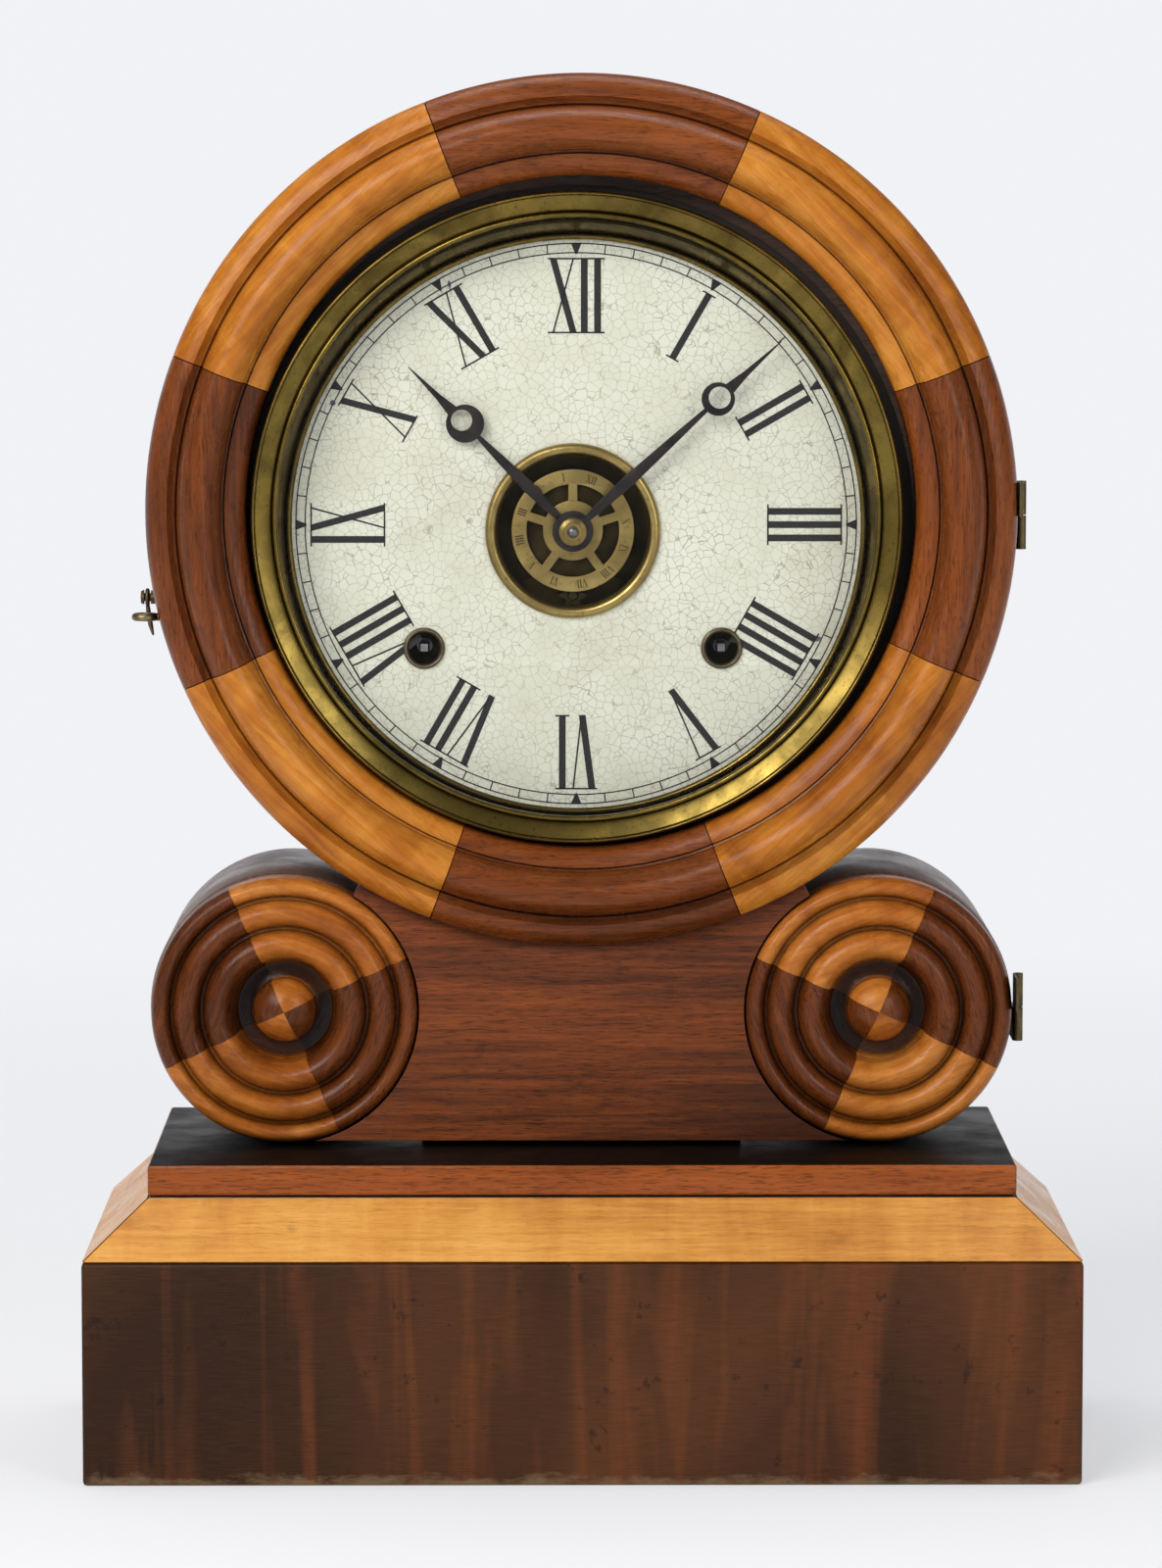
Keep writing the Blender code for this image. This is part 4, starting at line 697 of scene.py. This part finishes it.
# Case
def dress_case():
    for name in ("left", "right"):
        node = "volute_roll_" + name
        low, high, middle = sized(node)
        radius = (high.x - low.x) / 2
        length = high.y - low.y
        soft = ROLL_EDGE
        shoulder = soft * 0.3
        outline = [(0, 0), (radius - soft, 0), (radius - shoulder, shoulder), (radius, soft)]
        outline += [(radius, length - soft), (radius - shoulder, length - shoulder)]
        outline += [(radius - soft, length), (0, length)]
        mesh = lathe(node, outline, 96)
        place = across((middle.x, 0, middle.z))
        mesh.transform(place.inverted() @ facing(middle.x, high.y, middle.z))
        show("roll_" + name, mesh, CASE_WOOD, "case", [node], place)
    bore = RING_RADIUS - DRUM_WALL
    mouth = degrees(asin((WAIST_HALF + SEAM) / bore))
    depth = CASE_BACK - CASE_FRONT
    wall = [(bore, 0), (RING_RADIUS, 0), (RING_RADIUS, depth), (bore, depth)]
    shell = lathe("drum", wall, 120, mouth - 90, 270 - mouth)
    place = across((0, 0, HEAD_Z))
    shell.transform(place.inverted() @ facing(0, CASE_BACK, HEAD_Z))
    show("drum_veneered", shell, MAHOGANY, "case", ["drum_shell"], place)
    foot = degrees(asin(WAIST_HALF / RING_RADIUS))
    low, high, _ = sized("back_board")
    edge = arc(RING_RADIUS, 121, (0, 0), foot - 90, 270 - foot)
    edge += [(-WAIST_HALF, low.z - HEAD_Z), (WAIST_HALF, low.z - HEAD_Z)]
    board = slab("back_panel", [edge], 0, high.y - low.y, PANEL_EDGE)
    show("back_panel", board, BACK_WOOD, "case", ["back_board"], facing(0, BACK, HEAD_Z))


# Door
def ring_profile():
    """The turned moulding of the door ring: rim roll, fillet, large torus, groove and hollow inner band."""
    points = [(RING_HOLE, 0), (RING_RADIUS, 0)]
    points += bead(RING_RADIUS - 2 * RIM_WIDTH, RING_RADIUS, RIM_FOOT, RIM_RISE, 14, 0, RIM_END_DEG)
    points += FILLET
    points += bead(TORUS_INNER, TORUS_OUTER, TORUS_FOOT, TORUS_RISE, 20)
    points += INNER_BAND
    return points


def rosette_profile(radius):
    """Three turned rings, a deep hollow and a domed button, from the rim to the middle."""
    points = [(0, 0), (radius, 0)]
    for outer, inner, rise in ((radius, *ROSETTE_RIM), *ROSETTE_BANDS):
        points += bead(inner, outer, ROSETTE_FOOT, rise, 16, *ROSETTE_BAND_DEG)
    points += ROSETTE_HOLLOW
    points += bead(-BUTTON_RADIUS, BUTTON_RADIUS, BUTTON_FOOT, BUTTON_RISE, 14, *BUTTON_DEG)
    return points


def dress_door():
    half_seam = degrees(SEAM / 2 / RING_HOLE)
    ends = (*RING_JOINTS_DEG[1:], RING_JOINTS_DEG[0] + 360)
    for i, (start, end) in enumerate(zip(RING_JOINTS_DEG, ends)):
        middle = (start + end) / 2
        half = (end - start) / 2 - half_seam
        mesh = lathe(f"ring_{i + 1}", ring_profile(), 30, 90 - half, 90 + half)
        finish, slot = (DARK, "dark_wood") if i % 2 else (LIGHT, "light_wood")
        place = facing(0, DOOR_BACK, HEAD_Z, middle - 90)
        show(f"ring_turned_{i + 1}", mesh, finish, "door", [f"door_ring_segment_{i + 1}"], place)
    dress_waist()
    for side, name in SIDES:
        low, high, middle = sized("rosette_" + name)
        joints = ROSETTE_JOINTS_DEG if side < 0 else [180 - a for a in ROSETTE_JOINTS_DEG[::-1]]
        for i, start in enumerate(joints):
            end = joints[i + 1] if i < 3 else joints[0] + 360
            light = i % 2 == 0
            half = (end - start) / 2 - ROSETTE_SEAM_DEG
            mesh = lathe("quarter", rosette_profile((high.z - low.z) / 2), 32, 90 - half, 90 + half)
            place = facing(middle.x, DOOR_BACK, middle.z, (start + end) / 2 - 90)
            finish, slot = (LIGHT_TURNED, "light_wood") if light else (DARK_TURNED, "dark_wood")
            nodes = ["rosette_" + name] if i == 0 else []
            show(f"rosette_{name}_quarter_{i + 1}", mesh, finish, "door", nodes, place)


def dress_waist():
    """The board between the rosettes, hollowed round the ring above and the rosettes beside it."""
    low, high, middle = sized("rosette_right")
    spread, rise = middle.x, HEAD_Z - middle.z
    hollow = (high.z - low.z) / 2 + SEAM
    lean = degrees(atan2(rise, -spread))
    foot = 180 + degrees(asin((hollow - WAIST_LIFT) / hollow))
    right = arc(hollow, 40, (spread, -rise), lean, foot)[::-1]
    over = arc(RING_RADIUS + SEAM, 40, (0, 0), lean - 180, -lean)
    left = [(-x, z) for x, z in right[::-1]]
    mesh = slab("waist", [right + over + left], 0, DOOR_BACK - DOOR_FRONT, WAIST_EDGE)
    place = facing(0, DOOR_BACK, HEAD_Z)
    show("waist_board", mesh, MAHOGANY, "door", ["door_waist_panel"], place)


def dress_glazing():
    low, high, middle = sized("brass_sash")
    r = (high.z - low.z) / 2
    place = facing(middle.x, DOOR_BACK, middle.z)
    profile = [(r - SASH_WALL, SASH_BACK), (r, SASH_BACK), (r, SASH_SHOULDER)]
    profile += bead(r - SASH_RIM_WIDTH, r, SASH_RIM_FOOT, SASH_RIM_RISE, 8)
    profile += [(r - inset, height) for inset, height in SASH_SLOPE]
    profile += bead(r - SASH_SIGHT, r - SASH_BEAD_OUTER, SASH_BEAD_FOOT, SASH_BEAD_RISE, 8)
    profile += [(r - SASH_SIGHT, SASH_SEAT), (r - SASH_WALL, SASH_SEAT)]
    show("sash_spun", lathe("sash", profile, 160), SASH_BRASS, "door", ["brass_sash"], place)
    low, high, middle = sized("dial_glass")
    radius = (high.z - low.z) / 2
    edge, thick = PANE_EDGE, PANE_THICK
    outline = [(0, 0), (radius - edge, 0), (radius, edge)]
    outline += [(radius, thick - edge), (radius - edge, thick), (0, thick)]
    place = facing(middle.x, high.y, middle.z)
    show("glass_pane", lathe("glass", outline, 128), PANE, "door", ["dial_glass"], place)


# Dial
def hem_profile(hole, floor, width, rise, inset, drop, steps):
    """A rolled brass edge round a hole, with a lip that turns down into it."""
    return bead(hole, hole + width, floor, rise, steps) + [(hole - inset, floor - drop)]


def dress_dial():
    low, high, middle = sized("dial_surround")
    place = facing(ARBOR.x, DIAL_BACK, ARBOR.z)
    front = DIAL_BACK - DIAL_FACE
    holes = [arc(CENTRE_HOLE, 72)]
    for side in (-1, 1):
        holes.append(arc(WINDING_HOLE, 40, (side * WINDING_X, -WINDING_DROP)))
    rim = arc(DIAL_RADIUS, 160, (middle.x - ARBOR.x, middle.z - ARBOR.z))
    plate = slab("dial", [rim, *holes], 0, front, DIAL_EDGE)
    show("dial_painted", plate, DIAL_PAINT, "case", ["dial_plate"], place)
    lift = DIAL_BACK - low.y
    outer = (high.z - low.z) / 2
    floor = front + DIAL_GAP
    sight = outer - SURROUND_SLOPE
    slope = [(sight, floor), (outer, floor), (outer, lift)]
    slope += [(outer - inset, lift - drop) for inset, drop in SURROUND_FALL]
    slope += [(sight + inset, floor + rise) for inset, rise in SURROUND_FOOT]
    slope += bead(sight, sight + SURROUND_BEAD, floor + SURROUND_BEAD_FOOT, SURROUND_BEAD / 2, 8)
    behind = facing(middle.x, DIAL_BACK, middle.z)
    show("dial_bezel", lathe("bezel", slope, 160), SASH_BRASS, "case", ["dial_surround"], behind)
    hem = hem_profile(CENTRE_HOLE, floor, **CENTRE_HEM)
    show("centre_hem", lathe("hem", hem, 96), DIAL_BRASS, "case", ["centre_ring"], place)
    hem = hem_profile(WINDING_HOLE, floor, **WINDING_HEM)
    for side, name in SIDES:
        spot = facing(ARBOR.x + side * WINDING_X, DIAL_BACK, ARBOR.z - WINDING_DROP)
        nodes = ["winding_grommet_" + name]
        show("winding_hem_" + name, lathe("hem", hem, 48), HEM_BRASS, "case", nodes, spot)
    face = facing(middle.x, DIAL_FACE, middle.z)
    show("dial_numerals", painted_dial(), INK, "case", place=face)


class Paint:
    """Flat painted polygons, a little proud of the dial."""

    def __init__(self, lift=INK_LIFT):
        self.bm = bmesh.new()
        self.lift = lift

    def patch(self, points, spin):
        c, s = cos(radians(spin)), sin(radians(spin))
        self.bm.faces.new([self.bm.verts.new((x * c - y * s, x * s + y * c, self.lift)) for x, y in points])

    def band(self, inner, outer):
        rings = []
        for radius in (inner, outer):
            rings.append([self.bm.verts.new((x, y, self.lift)) for x, y in arc(radius, TRACK_STEPS)])
        for i in range(TRACK_STEPS):
            self.bm.faces.new((rings[0][i - 1], rings[1][i - 1], rings[1][i], rings[0][i]))

    def stroke(self, foot, head, low, high, width, spin):
        """A bar with level ends from (foot, low) to (head, high)."""
        half = width / 2
        self.patch([(foot - half, low), (foot + half, low), (head + half, high), (head - half, high)], spin)


def numeral(paint, word, spin, low, high, size=1.0):
    """A Roman numeral with thick and thin strokes and level serifs, its foot towards the middle."""
    at = -sum(ADVANCE[letter] for letter in word) * size / 2
    for letter in word:
        wide = ADVANCE[letter] * size
        thick, thin, hair = THICK * size, THIN * size, SERIF * size
        middle = at + wide / 2
        left, right = at + LETTER_LEFT * size, at + wide - LETTER_RIGHT * size
        if letter == "I":
            paint.stroke(middle, middle, low, high, thick, spin)
        elif letter == "V":
            paint.stroke(middle + V_THICK_FOOT * size, left, low, high, thick, spin)
            paint.stroke(middle + V_THIN_FOOT * size, right, low, high, thin, spin)
        else:
            paint.stroke(right, left, low, high, thick, spin)
            paint.stroke(left, right, low, high, thin, spin)
        spread = SERIF_SPREAD * size
        paint.stroke(middle, middle, high - hair, high, wide + spread, spin)
        if letter != "V":
            paint.stroke(middle, middle, low, low + hair, wide + spread, spin)
        at += wide


def painted_dial():
    paint = Paint()
    paint.band(TRACK_OUTER - TRACK_LINE, TRACK_OUTER)
    paint.band(TRACK_INNER - TRACK_LINE, TRACK_INNER)
    foot = TRACK_INNER - HOUR_MARK_DROP
    narrow, wide = HOUR_MARK
    mark = [(-narrow, foot), (narrow, foot), (wide, TRACK_OUTER), (-wide, TRACK_OUTER)]
    for minute in range(60):
        spin = -6 * minute
        if minute % 5:
            paint.stroke(0, 0, TRACK_INNER, TRACK_OUTER, TRACK_LINE, spin)
        else:
            paint.patch(mark, spin)
    for hour, word in enumerate(NUMERALS):
        numeral(paint, word, -30 * hour, NUMERAL_INNER, NUMERAL_OUTER)
    return to_mesh(paint.bm, "numerals")


# Hands and the alarm disc
def hand_loops(length, moon_at, moon, hole, lean, bore, hub):
    """A hand that points along +X: hub, swelling shaft, pierced moon and a needle tip."""
    root, neck, spear = HAND_ROOT, HAND_NECK, HAND_SPEAR
    hub_half = degrees(asin(root / hub))
    near = degrees(asin(neck / moon))
    far = degrees(asin(spear / moon))
    lower = [(hub + (moon_at - hub) * share, -width) for share, width in HAND_SHAFT]
    lower += arc(moon, 28, (moon_at, 0), 180 + near, 360 - far)
    share, width = HAND_NEEDLE
    lower += [(moon_at + moon + (length - moon_at - moon) * share, -width)]
    upper = [(x, -y) for x, y in lower[::-1]]
    outline = arc(hub, 48, (0, 0), hub_half, 360 - hub_half)
    outline += lower + [(length, -HAND_TIP), (length, HAND_TIP)] + upper
    return [outline, arc(hole, 36, (moon_at + lean, 0)), arc(bore, 32)]


def dress_hands():
    for name, shape, turn in (("minute", MINUTE_HAND, MINUTE_DEG), ("hour", HOUR_HAND, HOUR_DEG)):
        low, high, _ = sized(name + "_hand")
        mesh = slab(name, hand_loops(**shape), 0, high.y - low.y, HAND_EDGE)
        place = facing(ARBOR.x, high.y, ARBOR.z, turn)
        show(name + "_hand_blued", mesh, HAND, name, [name + "_hand"], place)
    place = facing(ARBOR.x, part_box("hand_collet")[1].y, ARBOR.z)
    collet = lathe("collet", COLLET, 48)
    show("collet_turned", collet, DIAL_BRASS, "minute", ["hand_collet"], place)
    tip = [(0, 0)] + bead(-TIP_RADIUS, TIP_RADIUS, TIP_FOOT, TIP_RISE, 8, 0, 90)
    place = facing(ARBOR.x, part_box("centre_arbor")[0].y + TIP_SINK, ARBOR.z)
    show("arbor_tip", lathe("tip", tip, 32), STEEL, "minute", place=place)
    dress_alarm()


def dress_alarm():
    low, high, _ = sized("alarm_disc")
    windows = []
    hub, rim, spoke = ALARM_HUB, ALARM_RIM, ALARM_SPOKE_HALF
    half = 180 / ALARM_SPOKES
    outer_half, inner_half = half - degrees(spoke / rim), half - degrees(spoke / hub)
    for i in range(ALARM_SPOKES):
        middle = ALARM_WINDOW_DEG + 2 * half * i
        outer = arc(rim, 16, (0, 0), middle - outer_half, middle + outer_half)
        inner = arc(hub, 10, (0, 0), middle - inner_half, middle + inner_half)
        windows.append(outer + inner[::-1])
    loops = [arc(ALARM_RADIUS, 96), arc(ALARM_BORE, 24), *windows]
    disc = slab("alarm", loops, 0, high.y - low.y, ALARM_EDGE)
    place = facing(ARBOR.x, high.y, ARBOR.z)
    show("alarm_pierced", disc, DIAL_BRASS, "alarm", ["alarm_disc"], place)
    paint = Paint(ALARM_INK_LIFT)
    for hour, word in enumerate(NUMERALS):
        spin = 30 * hour - ALARM_TURN_DEG
        numeral(paint, word, spin, ALARM_MARK_INNER, ALARM_MARK_OUTER, ALARM_MARK_SIZE)
    mesh = to_mesh(paint.bm, "alarm_marks")
    show("alarm_marks", mesh, DARK_BRASS, "alarm", place=facing(ARBOR.x, low.y, ARBOR.z))


# Latch: a loop of bent wire on the door, and a ring with a hanging tail on the case
def tube(name, points, radii):
    """A round bar along the points, with its own radius at each of them."""
    bm = bmesh.new()
    rings = []
    for i, (point, radius) in enumerate(zip(points, radii)):
        ahead = points[min(i + 1, len(points) - 1)] - points[max(i - 1, 0)]
        turn = ahead.to_track_quat("Z", "Y").to_matrix()
        rings.append([bm.verts.new(point + turn @ Vector((x, y, 0))) for x, y in arc(radius, WIRE_SIDES)])
    for near, far in zip(rings, rings[1:]):
        for i in range(WIRE_SIDES):
            bm.faces.new((near[i - 1], near[i], far[i], far[i - 1]))
    bm.faces.new(rings[0])
    bm.faces.new(rings[-1])
    return to_mesh(bm, name)


def wire_ring(name, outer, wire):
    return lathe(name, arc(wire, 14, (outer - wire, 0)), 40)


def dress_latch():
    low, high, middle = sized("latch_eye")
    outer = (high.y - low.y) / 2
    loop = wire_ring("loop", outer, EYE_WIRE)
    show("latch_loop", loop, LATCH_BRASS, "door", ["latch_eye"], Matrix.Translation(middle))
    root = Vector((high.x, middle.y, middle.z))
    ends = [root + Vector((EYE_STEM * step, 0, 0)) for step in (-1, 1)]
    show("latch_loop_stem", tube("stem", ends, (EYE_WIRE, EYE_WIRE)), LATCH_BRASS, "door")
    low, high, middle = sized("latch_hook")
    outer = (high.y - low.y) / 2
    top = Vector((middle.x, middle.y, high.z - outer))
    upright = Matrix.Translation(top) @ Matrix.Rotation(radians(90), 4, "Y")
    ring = wire_ring("hook_ring", outer, HOOK_WIRE)
    show("latch_hook_ring", ring, DARK_BRASS, "latch", ["latch_hook"], upright)
    length = top.z - low.z
    points = [top + Vector((lean, 0, -length * share)) for share, lean in HOOK_TAIL]
    radii = [HOOK_WIRE * thick for thick in HOOK_THICKNESS]
    show("latch_hook_tail", tube("tail", points, radii), DARK_BRASS, "latch")


# Pieces whose solid is right already, with a better finish
def dress_solids():
    shown = {"dark_wood": DARK, "light_wood": LIGHT, "case_wood": CASE_WOOD, "steel": STEEL}
    inside = ("front_plate", "back_plate", "motion", "hour_wheel", "centre_arbor")
    inside += ("main_wheel", "second", "third", "escape")
    slots = {part["node"]: part["material_slot"] for part in frame["record"]["subparts"]}
    for name, node in frame["nodes"].items():
        finish = shown.get(slots[name], DIAL_BRASS)
        if name.startswith(("hinge", "latch")):
            finish = DARK_BRASS
        # The movement's pieces inside the case take the darker brass as painted shade
        if name.startswith(inside):
            finish = SHADED_BRASS
        # Winding arbors take the dimmed steel as painted shade
        if name.startswith("winding_arbor"):
            finish = ARBOR_STEEL_SHADED
        node.data.materials.clear()
        node.data.materials.append(finish)


# Stage, light and camera
def build_stage():
    bm = bmesh.new()
    depth = [(-SWEEP_REACH, 0.0)]
    for turn in range(0, 91, 6):
        along, up = sin(radians(turn)), 1 - cos(radians(turn))
        depth.append((SWEEP_START + SWEEP_BEND * along, SWEEP_BEND * up))
    depth.append((SWEEP_START + SWEEP_BEND, SWEEP_RISE))
    rows = [[bm.verts.new((x, y, z)) for x in (-SWEEP_REACH, SWEEP_REACH)] for y, z in depth]
    for near, far in zip(rows, rows[1:]):
        bm.faces.new((near[0], near[1], far[1], far[0]))
    mesh = to_mesh(bm, "sweep")
    mesh.shade_smooth()
    floor = bpy.data.objects.new("studio_sweep", mesh)
    bpy.context.scene.collection.objects.link(floor)
    g = Graph("studio_paper")
    tint = g.noise(g.place(own=False), 3, 2, 0.5)
    colour = g.ramp(tint, *zip((0.3, 0.7), PAPER_TONES))
    paper = g.surface(Base_Color=colour, Roughness=0.9)
    path = g.node("LightPath").outputs
    mirrored = g.math("MAXIMUM", path["Is Glossy Ray"], path["Is Transmission Ray"])
    seen = g.math("MAXIMUM", path["Is Camera Ray"], mirrored)
    away = g.length(g.place(own=False))
    share = g.math("MULTIPLY", seen, g.span(away, NEAR_FLOOR, FAR_FLOOR, NEAR_GLOW, 1.0))
    glow = g.node("Emission", {"Color": BACKGROUND, "Strength": 1.0})
    both = g.node("MixShader", {0: share, 1: g.shader.outputs[0], 2: glow.outputs[0]})
    g.plug(g.tree.nodes["Material Output"].inputs["Surface"], both.outputs[0])
    mesh.materials.append(paper)


def lamp(name, place, target, size, power, tint):
    light = bpy.data.lights.new(name, "AREA")
    light.shape = "RECTANGLE"
    light.size, light.size_y = size
    light.energy = power
    light.color = tint
    made = bpy.data.objects.new(name, light)
    made.location = place
    made.rotation_euler = (Vector(target) - Vector(place)).to_track_quat("-Z", "Y").to_euler()
    bpy.context.scene.collection.objects.link(made)


def build_light():
    world = bpy.data.worlds.new("studio")
    bpy.context.scene.world = world
    world.use_nodes = True
    shade = world.node_tree.nodes["Background"]
    shade.inputs["Color"].default_value = SKY
    shade.inputs["Strength"].default_value = SKY_STRENGTH
    for values in LAMPS:
        lamp(*values)


def build_camera():
    camera = bpy.data.cameras.new("photograph")
    camera.lens = LENS
    camera.sensor_width = SENSOR
    made = bpy.data.objects.new("photograph", camera)
    made.location = CAMERA_PLACE
    made.rotation_euler = (radians(90 - CAMERA_TILT_DEG), 0, radians(CAMERA_TURN_DEG))
    bpy.context.scene.collection.objects.link(made)
    bpy.context.scene.camera = made
    bpy.context.scene.view_settings.view_transform = "Standard"


dress_solids()
dress_plinth()
dress_case()
dress_door()
dress_glazing()
dress_dial()
dress_hands()
dress_latch()
build_stage()
build_light()
build_camera()
